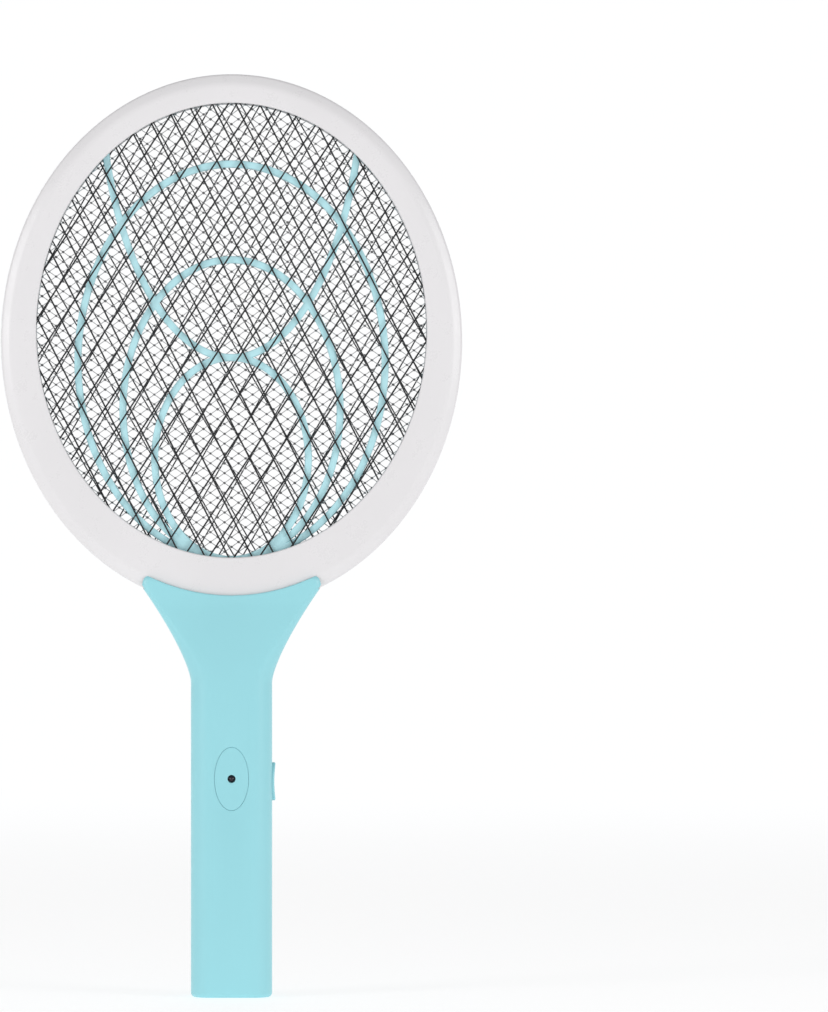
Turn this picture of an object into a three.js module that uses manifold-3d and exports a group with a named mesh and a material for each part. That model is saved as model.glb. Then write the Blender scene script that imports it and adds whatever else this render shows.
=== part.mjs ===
// Electric fly swatter, standing upright on the end of its handle.
// Millimetres, +Z up. The origin is the middle of the handle's end face. -Y is the front and +X the side of
// the push-button.
// The head is an oval of two ring halves, which clamp three wire grids kept apart by two rib frames.
// The handle is a front shell, a rear shell and a battery door that slides down off the back. It holds two
// cells and a high-voltage circuit.
import * as THREE from 'three';
import { mergeVertices } from 'three/addons/utils/BufferGeometryUtils.js';
import Module from 'manifold-3d';

const wasm = await Module();
wasm.setup();

// ---------------------------------------------------------------- driving dimensions

const gap = 0.3; // clearance left between neighbouring pieces

// Head
const overallHeight = 420;
const headHalfWidth = 105;
const headHalfHeight = 121.5;
const headHalfDepth = 7.5;
const headCentreZ = overallHeight - headHalfHeight;
const openingHalfWidth = 88.8;
const openingHalfHeight = 103.4;
const openingCentreZ = 303.4;
const ringWall = 2;
const ringFace = 1.8;
const ringBevel = { reach: 4.4, startDepth: 4.7, edgeReach: 0.7, edgeDepth: 5.7 }; // around the outer edge
const openingBevel = { reach: 0.7, drop: 0.6 };
const ovalSegments = 64;

// Grids and rib frames
const outerPitch = 9.6;
const outerWire = 0.7;
const outerPlaneY = 4.4; // middle of each outer grid, either side of the head's middle plane
const outerLean = 30; // degrees between a wire and the vertical
const frontGridTurn = 3.25; // degrees the front grid is turned clockwise in its frame
const frontCrossing = new THREE.Vector2(-2, 265.3); // a point where two of the front grid's wires cross
const rearCrossing = new THREE.Vector2(14.2, 255);
const centrePitch = 3.67;
const centreWire = 0.4;
const centreLean = 55;
const gridRim = { inner: 1, outer: 3.4 }; // outside the opening's edge
const frameRim = { inner: 0.6, outer: 5 };
const crossingLift = 0.02; // between the surfaces of two wires where they cross
const rimProud = 0.1; // of a grid's rim over its wires
const ribWidth = 3.2;
const ribFrontY = 3.1;
const ribBackY = 0.8;
const ribSegments = 40;

// The tongue of each ring half, which the handle clamps, and the grids' solder lugs that run down it
const tongue = { halfWidth: 20, bottomZ: 163.5, frontY: 6, backY: 0.8 };
const lug = { halfWidth: 2, centreX: 0, outerX: 7.5, bottomZ: 160.5, overlap: 1.5 };
const lugSlotZ = [158.5, 190];

// Handle
const gripHalfWidth = 18.5;
const gripHalfDepth = 12.5;
const gripCorner = 9;
const leastCorner = 1;
const neckStartZ = 143;
const shellWall = 2;
const footFillet = 2;
const hornHalfDepth = 9.2;
const hornCorner = 4;
const hornOverlap = 5.8; // how far the horns reach over the ring's edge
const hornEnd = new THREE.Vector2(41.6, 187.8);
const flarePulls = [new THREE.Vector2(gripHalfWidth, 149), new THREE.Vector2(26, 166)];
const hornTipX = 39;
const tipShare = 0.9; // share of the way up the neck at which the rounded tip of the horn starts
const cornerSpeed = 1.4; // how much faster than the neck rises its corners shrink to the horns'
const depthEaseTopZ = 181; // where the handle has thinned from the grip's depth to the horns'
const easeBlend = 0.1; // share of that stretch over which the thinning eases out at the horns
const neckShares = [0.14, 0.3, 0.46, 0.62, 0.77, 0.9, 0.96, 1];
const doorTopZ = 87.5;

// A tongue of the front shell's end wall that reaches back through the battery door, so that the handle
// stands on one piece. The door ends a gap above the floor.
const endTongue = { halfWidth: 9, frontY: -3, backY: 8.4 };

// Rails of the battery door. Their hooks run in grooves of the front shell's side walls, out of its end.
const rail = {
  innerX: 14.95,
  outerX: gripHalfWidth - shellWall - gap,
  hookX: 17.1,
  frontY: 2.2,
  hookBackY: 1.4,
  backY: 0.6,
  z: [4, doorTopZ - 3],
};
const railRootBackY = 1.6;
const latch = { halfWidth: 5, thickness: 1.4, rootThickness: 1.6, z: [80, 91] };
const thumbPad = { halfWidth: 7, bottomZ: 68, grooves: 5, pitch: 2.6, grooveWidth: 1.2, grooveDepth: 0.6 };

// Push-button and indicator
const buttonZ = 98;
const buttonHoleHalf = { y: 5.4, z: 9.15 };
const buttonProud = 1.6;
const buttonTravel = 1.2;
const buttonFlange = { y: 0.7, z: 0.65, x: [14.4, 15.6] }; // how far it spreads behind the wall, and where
const buttonGap = 0.45; // dark line around the button
const buttonSegments = 14;
const dishRadius = 60;
const dishDepth = 0.6;
const indicatorZ = 99.5;
const plateHalf = { x: 7.75, z: 14.35 };
const plateRecess = 1.1;
const plateRecessed = 0.1; // how far the plate's face lies behind the grip's
const plateSegments = 20;
const hubRadius = 3.4;
const hubBackY = -8.6;
const ledRadius = 1.5;
const ledBaseY = -7.4;
const ledLeg = { x: 1, halfWidth: 0.25 };

// Screws
const screwShaft = 1.45;
const screwHead = 2.6;
const upperScrews = { x: 13, z: 172, seatY: 7.8, tipY: -7.2 };
const lowerScrews = { x: 10.5, z: 144.5, seatY: 7, tipY: -7 };
const screwHeadHeight = 1.6;
const crossSlot = { halfLength: 1.6, halfWidth: 0.35, depth: 0.7 };
const frontPostRadius = 3.3;
const rearPostRadius = 4;

// Cells and their contacts
const cellRadius = 7.1;
const cellLength = 50.5;
const cellX = 7.35;
const bayFloorZ = 14;
const bayRoofZ = 72.5;
const bayWall = 2;
const bayHalfWidth = 14.5;
const bayWallBackY = 4;
const contactThickness = 0.5;
const springWire = 0.4;
const springCoil = { turns: 3, wide: 4.4, narrow: 2.6 };
const solderTab = { halfWidth: 1.6, topZ: 77.5 };
const roofPlate = { halfWidth: 6, y: [-6, 5.2] };
const linkPlate = { halfWidth: 13.6, halfDepth: 6 };
const leadRadius = 0.7;

// Circuit board
const board = { halfWidth: 14, bottomZ: 84, topZ: 139, frontY: 3.4, thickness: 1.6 };
const notch = { x: 12.2, bottomZ: 85.5, topZ: 110.5 }; // room for the button's flange to travel
const boardPost = { radius: 1.8, places: [[-10.5, 88], [-10.5, 135], [10.5, 135]] };
const switchCase = { x: [2.8, 10.8], y: [-3.9, board.frontY - gap], halfHeight: 4 };
const plungerHalf = 1.5;
const plungerBoreDepth = 4.6;
const core = { x: [-13, 1], y: [-8.6, board.frontY - gap], z: [113, 129], windowX: 3.4, windowZ: 3 };
const coilProud = 0.8; // of the winding over the core's front
const storage = { x: [4.4, 11.6], y: [-7.5, board.frontY - gap], z: [113, 131.5] };
const disc = { radius: 3.6, halfThickness: 1.2, y: -0.8, x: -9, z: 97 };
const oscillator = { radius: 2.4, flatZ: 1.4, topY: -1.6, x: -9, z: 106.5 };
const diode = { halfLength: 2.6, radius: 1.3 };
const resistor = { halfLength: 3.1, radius: 1.15 };

// ---------------------------------------------------------------- materials

function paint(color, roughness, metalness = 0) {
  return new THREE.MeshStandardMaterial({ color, roughness, metalness });
}

const whitePlastic = paint(0xe9e7e9, 0.42);
const aquaPlastic = paint(0x9ddfe8, 0.4);
const blackWire = paint(0x17181a, 0.38, 0.6);
const silverWire = paint(0xc9ccd0, 0.32, 1);
const springSteel = paint(0xb9bcc0, 0.28, 1);
const screwSteel = paint(0x8f9296, 0.35, 1);
const smokedLens = paint(0x1c1230, 0.12);
const boardResin = paint(0x9a7b4a, 0.55);
const blackResin = paint(0x1b1b1d, 0.45);
const ferrite = paint(0x3a3b3e, 0.6);
const copper = paint(0xb87333, 0.35, 0.9);
const filmRed = paint(0xa8331f, 0.35);
const ceramicBlue = paint(0x2f6fb0, 0.4);
const resistorBody = paint(0xd9bf8c, 0.5);
const cellJacket = paint(0x2d6d5c, 0.35, 0.2);
const redSleeve = paint(0xb3261e, 0.45);
const blackSleeve = paint(0x1d1d1f, 0.45);

// ---------------------------------------------------------------- tools

const swatter = new THREE.Group();

// A geometry as a solid, with its shared vertices merged.
function solid(geometry) {
  const bare = geometry.index ? geometry.toNonIndexed() : geometry;
  const points = new THREE.BufferGeometry().setAttribute('position', bare.getAttribute('position'));
  const merged = mergeVertices(points, 1e-4);
  return new wasm.Manifold(
    new wasm.Mesh({
      numProp: 3,
      vertProperties: merged.attributes.position.array,
      triVerts: new Uint32Array(merged.index.array),
    }),
  );
}

// A solid as a named mesh in a group.
function addPiece(name, made, material, group = swatter) {
  const { vertProperties, triVerts } = made.getMesh();
  const geometry = new THREE.BufferGeometry()
    .setAttribute('position', new THREE.BufferAttribute(vertProperties, 3))
    .setIndex(new THREE.BufferAttribute(triVerts, 1));
  geometry.computeVertexNormals();
  const piece = new THREE.Mesh(geometry, material);
  piece.name = name;
  group.add(piece);
  return piece;
}

const join = (...solids) => solids.reduce((whole, next) => whole.add(next));

const farSide = 60; // past every wall of the handle, seen from its middle
const aboveHorns = 200;
const overlap = 0.4; // how deep a post runs into the wall that it stands on

function box([x0, x1], [y0, y1], [z0, z1]) {
  const shape = new THREE.BoxGeometry(x1 - x0, y1 - y0, z1 - z0);
  return solid(shape.translate((x0 + x1) / 2, (y0 + y1) / 2, (z0 + z1) / 2));
}

// A shape drawn in X and Z, as a plate from y0 to y1.
function plate(shape, [y0, y1], curveSegments = ovalSegments / 2) {
  const made = new THREE.ExtrudeGeometry(shape, { depth: y1 - y0, bevelEnabled: false, curveSegments });
  return solid(made.rotateX(Math.PI / 2).translate(0, y1, 0));
}

function oval(halfX, halfZ, centreZ, centreX = 0) {
  return new THREE.Shape().absellipse(centreX, centreZ, halfX, halfZ, 0, Math.PI * 2);
}

// The band between two ovals around the same centre.
function ovalBand(halfX, halfZ, centreZ, { inner, outer }) {
  const band = oval(halfX + outer, halfZ + outer, centreZ);
  const hole = new THREE.Path();
  hole.absellipse(0, centreZ, halfX + inner, halfZ + inner, 0, Math.PI * 2, true);
  band.holes.push(hole);
  return band;
}

// A round bar along Y, and one along X.
function barAlongY(x, z, radius, [y0, y1], sides = 16) {
  return solid(new THREE.CylinderGeometry(radius, radius, y1 - y0, sides).translate(x, (y0 + y1) / 2, z));
}

function barAlongX(y, z, radius, [x0, x1], sides = 12) {
  const bar = new THREE.CylinderGeometry(radius, radius, x1 - x0, sides).rotateZ(Math.PI / 2);
  return solid(bar.translate((x0 + x1) / 2, y, z));
}

// A round wire along a curve.
function wireAlong(extrudePath, radius, steps, sides = 6) {
  const section = new THREE.Shape().absarc(0, 0, radius, 0, Math.PI * 2);
  const options = { steps, extrudePath, curveSegments: sides / 2, bevelEnabled: false };
  return solid(new THREE.ExtrudeGeometry(section, options));
}

// A closed skin over rings of points. Every ring runs from +X by the front to -X and back by the rear, so
// point i and point count - i face each other, and the two ends are closed by strips between them.
function loft(rings) {
  const count = rings[0].length;
  const faces = [];
  rings.slice(1).forEach((_, level) => {
    for (let i = 0; i < count; i++) {
      const a = level * count + i;
      const b = level * count + ((i + 1) % count);
      faces.push(a, a + count, b + count, a, b + count, b);
    }
  });
  const top = (rings.length - 1) * count;
  for (let i = 0; i < count / 2; i++) {
    const [a, b, c, d] = [i, i + 1, count - i - 1, (count - i) % count];
    if (b !== c) faces.push(a, b, c, top + a, top + c, top + b);
    if (a !== d) faces.push(a, c, d, top + a, top + d, top + c);
  }
  const skin = new THREE.BufferGeometry().setFromPoints(rings.flat());
  return solid(skin.setIndex(faces));
}

// ---------------------------------------------------------------- head

const head = new THREE.Group();
swatter.add(head);

// A point of the ring at an angle, a number of millimetres inside its outer edge or outside its inner one.
function ringPoint(angle, { edge, inset, y }) {
  const outer = new THREE.Vector2(
    headHalfWidth * Math.cos(angle),
    headCentreZ + headHalfHeight * Math.sin(angle),
  );
  const inner = new THREE.Vector2(
    openingHalfWidth * Math.cos(angle),
    openingCentreZ + openingHalfHeight * Math.sin(angle),
  );
  const share = inset / outer.distanceTo(inner);
  const at = edge === 'outer' ? outer.clone().lerp(inner, share) : inner.clone().lerp(outer, share);
  return new THREE.Vector3(at.x, y, at.y);
}

// The front half's section, a channel open towards the middle plane.
const ringSection = [
  { edge: 'outer', inset: 0, y: -gap / 2 },
  { edge: 'outer', inset: 0, y: -ringBevel.startDepth },
  { edge: 'outer', inset: ringBevel.edgeReach, y: -ringBevel.edgeDepth },
  { edge: 'outer', inset: ringBevel.reach, y: -headHalfDepth },
  { edge: 'inner', inset: openingBevel.reach, y: -headHalfDepth },
  { edge: 'inner', inset: 0, y: -headHalfDepth + openingBevel.drop },
  { edge: 'inner', inset: 0, y: -headHalfDepth + ringFace },
  { edge: 'outer', inset: ringWall, y: -headHalfDepth + ringFace },
  { edge: 'outer', inset: ringWall, y: -gap / 2 },
];

function ringChannel() {
  const count = ringSection.length;
  const points = [];
  const faces = [];
  for (let step = 0; step < ovalSegments; step++) {
    const angle = (step / ovalSegments) * Math.PI * 2;
    points.push(...ringSection.map((corner) => ringPoint(angle, corner)));
    for (let i = 0; i < count; i++) {
      const next = (step + 1) % ovalSegments;
      const [a, b] = [step * count + i, step * count + ((i + 1) % count)];
      const [c, d] = [next * count + ((i + 1) % count), next * count + i];
      faces.push(a, c, b, a, d, c);
    }
  }
  return solid(new THREE.BufferGeometry().setFromPoints(points).setIndex(faces));
}

// The slot that a grid's lug runs through, past the ring's wall and down its tongue.
function lugSlot(x, y, halfDepth) {
  const halfWidth = lug.halfWidth + gap;
  return box([x - halfWidth, x + halfWidth], [y - halfDepth, y + halfDepth], lugSlotZ);
}

function ringHalf() {
  const tongueBlock = box(
    [-tongue.halfWidth, tongue.halfWidth],
    [-tongue.frontY, -tongue.backY],
    [tongue.bottomZ, headCentreZ - headHalfHeight + ringWall - gap],
  );
  const screwHoles = [-1, 1].map((side) =>
    barAlongY(side * upperScrews.x, upperScrews.z, screwShaft + 2 * gap, [-headHalfDepth, 0]),
  );
  return join(ringChannel(), tongueBlock)
    .subtract(join(...screwHoles))
    .subtract(lugSlot(lug.centreX, 0, centreWire + gap))
    .subtract(lugSlot(lug.outerX, -outerPlaneY, outerWire / 2 + gap));
}

// The other half of a mirrored pair: turned over front to back.
const mirrored = (made) => made.mirror([0, 1, 0]);

const frontRing = ringHalf();
addPiece('front_ring', frontRing, whitePlastic, head);
addPiece('rear_ring', mirrored(frontRing), whitePlastic, head);

// One family of parallel straight wires, leaning from the vertical, with one of them through a given point.
// Each ends in the middle of the grid's rim.
function wireFamily(leanDegrees, pitch, thickness, through, y) {
  const lean = THREE.MathUtils.degToRad(leanDegrees);
  const along = new THREE.Vector2(Math.sin(lean), Math.cos(lean));
  const across = new THREE.Vector2(Math.cos(lean), -Math.sin(lean));
  const toRim = (gridRim.inner + gridRim.outer) / 2;
  const halfAxes = new THREE.Vector2(openingHalfWidth + toRim, openingHalfHeight + toRim);
  const most = Math.ceil((halfAxes.x + halfAxes.y) / pitch);
  const wires = [];
  for (let k = -most; k <= most; k++) {
    const point = through.clone().addScaledVector(across, k * pitch);
    // the chord that the wire's line cuts from the oval, found where that oval is the unit circle
    const start = point.clone().setY(point.y - openingCentreZ).divide(halfAxes);
    const step = along.clone().divide(halfAxes);
    const reach = start.dot(step) ** 2 - step.lengthSq() * (start.lengthSq() - 1);
    if (reach <= 0) continue;
    const middle = point.addScaledVector(along, -start.dot(step) / step.lengthSq());
    const length = (2 * Math.sqrt(reach)) / step.lengthSq();
    const bar = new THREE.BoxGeometry(thickness, thickness, length).rotateY(lean);
    wires.push(solid(bar.translate(middle.x, y, middle.y)));
  }
  return join(...wires);
}

// Two families of wires, one behind the other, joined by an oval rim that the ring halves clamp.
function wireGrid({ leans, pitch, wire, through, y, lugX }) {
  const offset = wire / 2 + crossingLift;
  const families = [
    wireFamily(leans[0], pitch, wire, through, y - offset),
    wireFamily(leans[1], pitch, wire, through, y + offset),
  ];
  const halfRim = wire + rimProud;
  const rim = plate(
    ovalBand(openingHalfWidth, openingHalfHeight, openingCentreZ, gridRim),
    [y - halfRim, y + halfRim],
  );
  const lugPlate = box(
    [lugX - lug.halfWidth, lugX + lug.halfWidth],
    [y - wire / 2, y + wire / 2],
    [lug.bottomZ, openingCentreZ - openingHalfHeight - lug.overlap],
  );
  return join(...families, rim, lugPlate);
}

const outerGrid = (turn, through, y) =>
  wireGrid({
    leans: [outerLean + turn, -outerLean + turn],
    pitch: outerPitch,
    wire: outerWire,
    through,
    y,
    lugX: lug.outerX,
  });

const centreGrid = wireGrid({
  leans: [centreLean, -centreLean],
  pitch: centrePitch,
  wire: centreWire,
  through: new THREE.Vector2(0, openingCentreZ),
  y: 0,
  lugX: lug.centreX,
});

addPiece('front_grid', outerGrid(frontGridTurn, frontCrossing, -outerPlaneY), blackWire, head);
addPiece('rear_grid', outerGrid(0, rearCrossing, outerPlaneY), blackWire, head);
addPiece('centre_grid', centreGrid, silverWire, head);

// The rib pattern: three nested ovals that touch at the bottom, and a deep bowl hung from the ring above.
const ribOvals = [
  { halfX: 70, halfZ: 90.1, centreZ: 289.2 },
  { halfX: 49.5, halfZ: 68.3, centreZ: 267.4 },
  { halfX: 35, halfZ: 46, centreZ: 245.1 },
  { halfX: 60.4, halfZ: 135.7, centreZ: 426.8 },
];
const ribBand = { inner: -ribWidth / 2, outer: ribWidth / 2 };

function ribFrame() {
  const span = [-ribFrontY, -ribBackY];
  const ribs = ribOvals.map(({ halfX, halfZ, centreZ }) =>
    plate(ovalBand(halfX, halfZ, centreZ, ribBand), span, ribSegments / 2),
  );
  const toRim = (frameRim.inner + frameRim.outer) / 2;
  const trim = plate(
    oval(openingHalfWidth + toRim, openingHalfHeight + toRim, openingCentreZ),
    [-headHalfDepth, headHalfDepth],
  );
  const rim = plate(ovalBand(openingHalfWidth, openingHalfHeight, openingCentreZ, frameRim), span);
  return join(join(...ribs).intersect(trim), rim);
}

const frontRibs = ribFrame();
addPiece('front_rib_frame', frontRibs, aquaPlastic, head);
addPiece('rear_rib_frame', mirrored(frontRibs), aquaPlastic, head);

// ---------------------------------------------------------------- handle

const handle = new THREE.Group();
swatter.add(handle);

// Height of the horns' upper edge, which follows the ring's outline.
function hornEdgeZ(x) {
  const across = x / (headHalfWidth - hornOverlap);
  return headCentreZ - (headHalfHeight - hornOverlap) * Math.sqrt(1 - across * across);
}

const flareStart = new THREE.Vector2(gripHalfWidth, neckStartZ);
const flare = new THREE.CubicBezierCurve(flareStart, ...flarePulls, hornEnd);
const hornTip = new THREE.Vector2(hornTipX, hornEdgeZ(hornTipX));

// The neck's side edge at a share t of the way up: the flare, then a quarter oval around the horn's tip.
function sideEdge(t) {
  if (t <= tipShare) return flare.getPoint(t / tipShare);
  const turn = ((t - tipShare) / (1 - tipShare)) * (Math.PI / 2);
  return new THREE.Vector2(
    hornTip.x + (hornEnd.x - hornTip.x) * Math.cos(turn),
    hornEnd.y + (hornTip.y - hornEnd.y) * Math.sin(turn),
  );
}

// Half the handle's depth at a height: level in the grip, thinning up the neck, and level in the horns.
function halfDepth(z) {
  if (z >= depthEaseTopZ) return hornHalfDepth;
  if (z <= neckStartZ) return gripHalfDepth;
  const share = (depthEaseTopZ - z) / (depthEaseTopZ - neckStartZ);
  const travelled = share < easeBlend ? share ** 2 / (2 * easeBlend) : share - easeBlend / 2;
  const eased = travelled / (1 - easeBlend / 2);
  return THREE.MathUtils.lerp(hornHalfDepth, gripHalfDepth, Math.sin((eased * Math.PI) / 2));
}

// One ring of the handle's skin. place(s) gives X and Z for s from 1 to -1 across the width. shy is how far
// a point falls short of the flat front or back, and null on the middle plane.
function sectionRing(place, halfWidth, corner, inset) {
  const [cornerSteps, flatSteps] = [3, 4];
  const radius = Math.max(corner - inset, leastCorner);
  const cornerShare = radius / (halfWidth - inset);
  const rounded = [];
  for (let i = 0; i <= cornerSteps; i++) {
    const turn = (i / cornerSteps) * (Math.PI / 2);
    rounded.push({ s: 1 - cornerShare * (1 - Math.cos(turn)), shy: radius * (1 - Math.sin(turn)) });
  }
  const flat = [];
  for (let i = 1; i < flatSteps; i++) {
    flat.push({ s: (1 - cornerShare) * (1 - (2 * i) / flatSteps), shy: 0 });
  }
  const otherCorner = rounded.map(({ s, shy }) => ({ s: -s, shy })).reverse();
  const front = [{ s: 1, shy: null }, ...rounded, ...flat, ...otherCorner, { s: -1, shy: null }];
  const sided = (side) => ({ s, shy }) => {
    const { x, y: z } = place(s);
    return new THREE.Vector3(x, shy === null ? 0 : side * (halfDepth(z) - inset - shy), z);
  };
  return [...front.map(sided(-1)), ...front.slice(1, -1).reverse().map(sided(1))];
}

const gripRing = (z, inset) =>
  sectionRing((s) => new THREE.Vector2(s * (gripHalfWidth - inset), z), gripHalfWidth, gripCorner, inset);

// A ring at a share t of the way up the neck, on a level that bends from flat to the horns' upper edge.
function neckRing(t, inset) {
  const side = sideEdge(t);
  const middleZ = THREE.MathUtils.lerp(neckStartZ, hornEdgeZ(0), t);
  const place = (s) => {
    const rise = (hornEdgeZ(s * hornTip.x) - hornEdgeZ(0)) / (hornTip.y - hornEdgeZ(0));
    return new THREE.Vector2(s * (side.x - inset), middleZ + (side.y - middleZ) * rise);
  };
  const corner = THREE.MathUtils.lerp(gripCorner, hornCorner, Math.min(1, t * cornerSpeed));
  return sectionRing(place, side.x, corner, inset);
}

const filletMiddle = footFillet * (1 - Math.SQRT1_2); // distance from both faces, halfway round the fillet

const handleSkin = loft([
  gripRing(0, footFillet),
  gripRing(filletMiddle, filletMiddle),
  gripRing(footFillet, 0),
  gripRing(neckStartZ, 0),
  ...neckShares.map((t) => neckRing(t, 0)),
]);
const handleHollow = loft([
  gripRing(shellWall, shellWall),
  gripRing(neckStartZ, shellWall),
  ...neckShares.slice(0, -1).map((t) => neckRing(t, shellWall)),
]);
const ringSeat = plate(
  oval(headHalfWidth + gap, headHalfHeight + gap, headCentreZ),
  [-headHalfDepth - gap, headHalfDepth + gap],
);
const handleWalls = handleSkin.subtract(handleHollow).subtract(ringSeat);

const frontSpace = box([-farSide, farSide], [-farSide, -gap / 2], [-farSide, aboveHorns]);
const rearSpace = (z0, z1) => box([-farSide, farSide], [gap / 2, farSide], [z0, z1]);

// The oval hole in the +X side that the push-button comes through.
function sideOval(halfY, halfZ, [x0, x1]) {
  const shape = new THREE.Shape().absellipse(0, 0, halfY, halfZ, 0, Math.PI * 2);
  const options = { depth: x1 - x0, bevelEnabled: false, curveSegments: buttonSegments };
  const made = new THREE.ExtrudeGeometry(shape, options);
  // the shape's X runs along Y, its Y along Z and its depth along X
  const turn = new THREE.Matrix4().makeBasis(
    new THREE.Vector3(0, 1, 0),
    new THREE.Vector3(0, 0, 1),
    new THREE.Vector3(1, 0, 0),
  );
  return solid(made.applyMatrix4(turn).translate(x0, 0, buttonZ));
}

const buttonHole = sideOval(buttonHoleHalf.y, buttonHoleHalf.z, [gripHalfWidth - gripCorner, farSide]);

// Screw posts: a pilot post in the front shell, and a counterbored post in the rear one.
const pair = (make) => join(make(-1), make(1));

function frontPosts({ x, z }, backY) {
  const floorY = shellWall - halfDepth(z);
  const posts = pair((side) => barAlongY(side * x, z, frontPostRadius, [floorY - overlap, backY], 12));
  const pilots = pair((side) => barAlongY(side * x, z, screwShaft + gap, [floorY, farSide], 12));
  return posts.intersect(handleSkin).subtract(pilots);
}

function rearPosts({ x, z }, frontY) {
  const posts = pair((side) => barAlongY(side * x, z, rearPostRadius, [frontY, halfDepth(z)], 12));
  return posts.intersect(handleSkin);
}

function rearScrewBores({ x, z, seatY }) {
  const shafts = pair((side) => barAlongY(side * x, z, screwShaft + gap, [-farSide, farSide], 12));
  const heads = pair((side) => barAlongY(side * x, z, screwHead + gap, [seatY, farSide], 12));
  return join(shafts, heads);
}

// A box and its twin on the other side, for x measured outwards.
const sideBoxes = ([x0, x1], ys, zs) => join(box([x0, x1], ys, zs), box([-x1, -x0], ys, zs));

// The door's two rails and hooks, or with some slack the grooves that they run in.
function railBars(slack, bottomZ) {
  const zs = [bottomZ, rail.z[1]];
  const hookRootX = rail.outerX - 1;
  return join(
    sideBoxes([rail.innerX - slack, rail.outerX + slack], [-rail.frontY - slack, rail.backY], zs),
    sideBoxes([hookRootX - slack, rail.hookX + slack], [-rail.frontY - slack, -rail.hookBackY + slack], zs),
  );
}

const frontWallY = -gripHalfDepth + shellWall - overlap; // where whatever stands on the front wall starts

// Cross walls at the two ends of the cell bay.
const bayEnd = (bottomZ) =>
  box([-bayHalfWidth, bayHalfWidth], [frontWallY, bayWallBackY], [bottomZ, bottomZ + bayWall]);
const bayEnds = join(bayEnd(bayFloorZ - bayWall), bayEnd(bayRoofZ));

const boardPosts = join(
  ...boardPost.places.map(([x, z]) =>
    barAlongY(x, z, boardPost.radius, [frontWallY, board.frontY - gap], 10),
  ),
);

const plateSeat = plate(
  oval(plateHalf.x + gap, plateHalf.z + gap, indicatorZ),
  [-farSide, -gripHalfDepth + plateRecess],
  plateSegments,
);
const hubHole = barAlongY(0, indicatorZ, hubRadius + gap, [-farSide, hubBackY - gap], 20);

const endTongueBox = (slack) =>
  box(
    [-endTongue.halfWidth - slack, endTongue.halfWidth + slack],
    [endTongue.frontY, endTongue.backY + slack],
    [-slack, shellWall + slack],
  );

const frontShell = join(
  handleWalls.intersect(frontSpace),
  endTongueBox(0),
  frontPosts(upperScrews, -tongue.frontY - gap),
  frontPosts(lowerScrews, -gap),
  bayEnds,
  boardPosts,
)
  .subtract(buttonHole)
  .subtract(plateSeat)
  .subtract(hubHole)
  .subtract(railBars(gap, -farSide));
addPiece('front_shell', frontShell, aquaPlastic, handle);

const rearShell = join(
  handleWalls.intersect(rearSpace(doorTopZ + gap / 2, aboveHorns)),
  rearPosts(upperScrews, tongue.frontY + gap),
  rearPosts(lowerScrews, gap),
)
  .subtract(join(rearScrewBores(upperScrews), rearScrewBores(lowerScrews)))
  .subtract(buttonHole);
addPiece('rear_shell', rearShell, aquaPlastic, handle);

// The battery door: the back of the grip's lower half, with rails, a latch tab and a grooved thumb pad.
function thumbGroove(index) {
  const bottomZ = thumbPad.bottomZ + index * thumbPad.pitch;
  return box(
    [-thumbPad.halfWidth, thumbPad.halfWidth],
    [gripHalfDepth - thumbPad.grooveDepth, farSide],
    [bottomZ, bottomZ + thumbPad.grooveWidth],
  );
}
const thumbGrooves = join(...Array.from({ length: thumbPad.grooves }, (_, index) => thumbGroove(index)));

const backWallY = gripHalfDepth - shellWall; // inner face of the handle's back wall
const latchXs = [-latch.halfWidth, latch.halfWidth];
const latchTab = box(latchXs, [backWallY - gap - latch.thickness, backWallY - gap], latch.z);
const latchRoot = box(
  latchXs,
  [backWallY + overlap - latch.rootThickness, backWallY + overlap],
  [latch.z[0], doorTopZ - 1],
);
const railRoots = sideBoxes([rail.innerX, gripHalfWidth - 1], [gap / 2, railRootBackY], rail.z);
const batteryDoor = join(
  handleWalls.intersect(rearSpace(gap, doorTopZ - gap / 2)).subtract(endTongueBox(gap)),
  railBars(0, rail.z[0]),
  railRoots,
  latchTab,
  latchRoot,
).subtract(thumbGrooves);
addPiece('battery_door', batteryDoor, aquaPlastic, handle);

// The oval plate around the indicator, with a hub that holds the lamp.
const plateFront = -gripHalfDepth + plateRecessed;
const plateDisc = plate(
  oval(plateHalf.x, plateHalf.z, indicatorZ),
  [plateFront, -gripHalfDepth + plateRecess - gap],
  plateSegments,
);
const hub = barAlongY(0, indicatorZ, hubRadius, [plateFront + overlap, hubBackY], 20);
const lampHole = barAlongY(0, indicatorZ, ledRadius + gap, [-farSide, farSide], 20);
addPiece('indicator_plate', join(plateDisc, hub).subtract(lampHole), aquaPlastic, handle);

// The lamp: a domed lens on a flanged base, with two legs down to the board.
const ledProfile = [
  [0, 0],
  [ledRadius + 0.4, 0],
  [ledRadius + 0.4, 0.8],
  [ledRadius, 0.8],
  [ledRadius, 3.4],
  [ledRadius * 0.7, 4.4],
  [0, 4.8],
].map(([r, along]) => new THREE.Vector2(r, along));
const ledLens = solid(new THREE.LatheGeometry(ledProfile, 14).rotateX(Math.PI));
addPiece('indicator_led', ledLens, smokedLens, handle).position.set(0, ledBaseY, indicatorZ);
[
  ['led_leg_left', -ledLeg.x],
  ['led_leg_right', ledLeg.x],
].forEach(([name, x]) => {
  const leg = box(
    [x - ledLeg.halfWidth, x + ledLeg.halfWidth],
    [ledBaseY + gap, board.frontY - gap],
    [indicatorZ - ledLeg.halfWidth, indicatorZ + ledLeg.halfWidth],
  );
  addPiece(name, leg, springSteel, handle);
});

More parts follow.
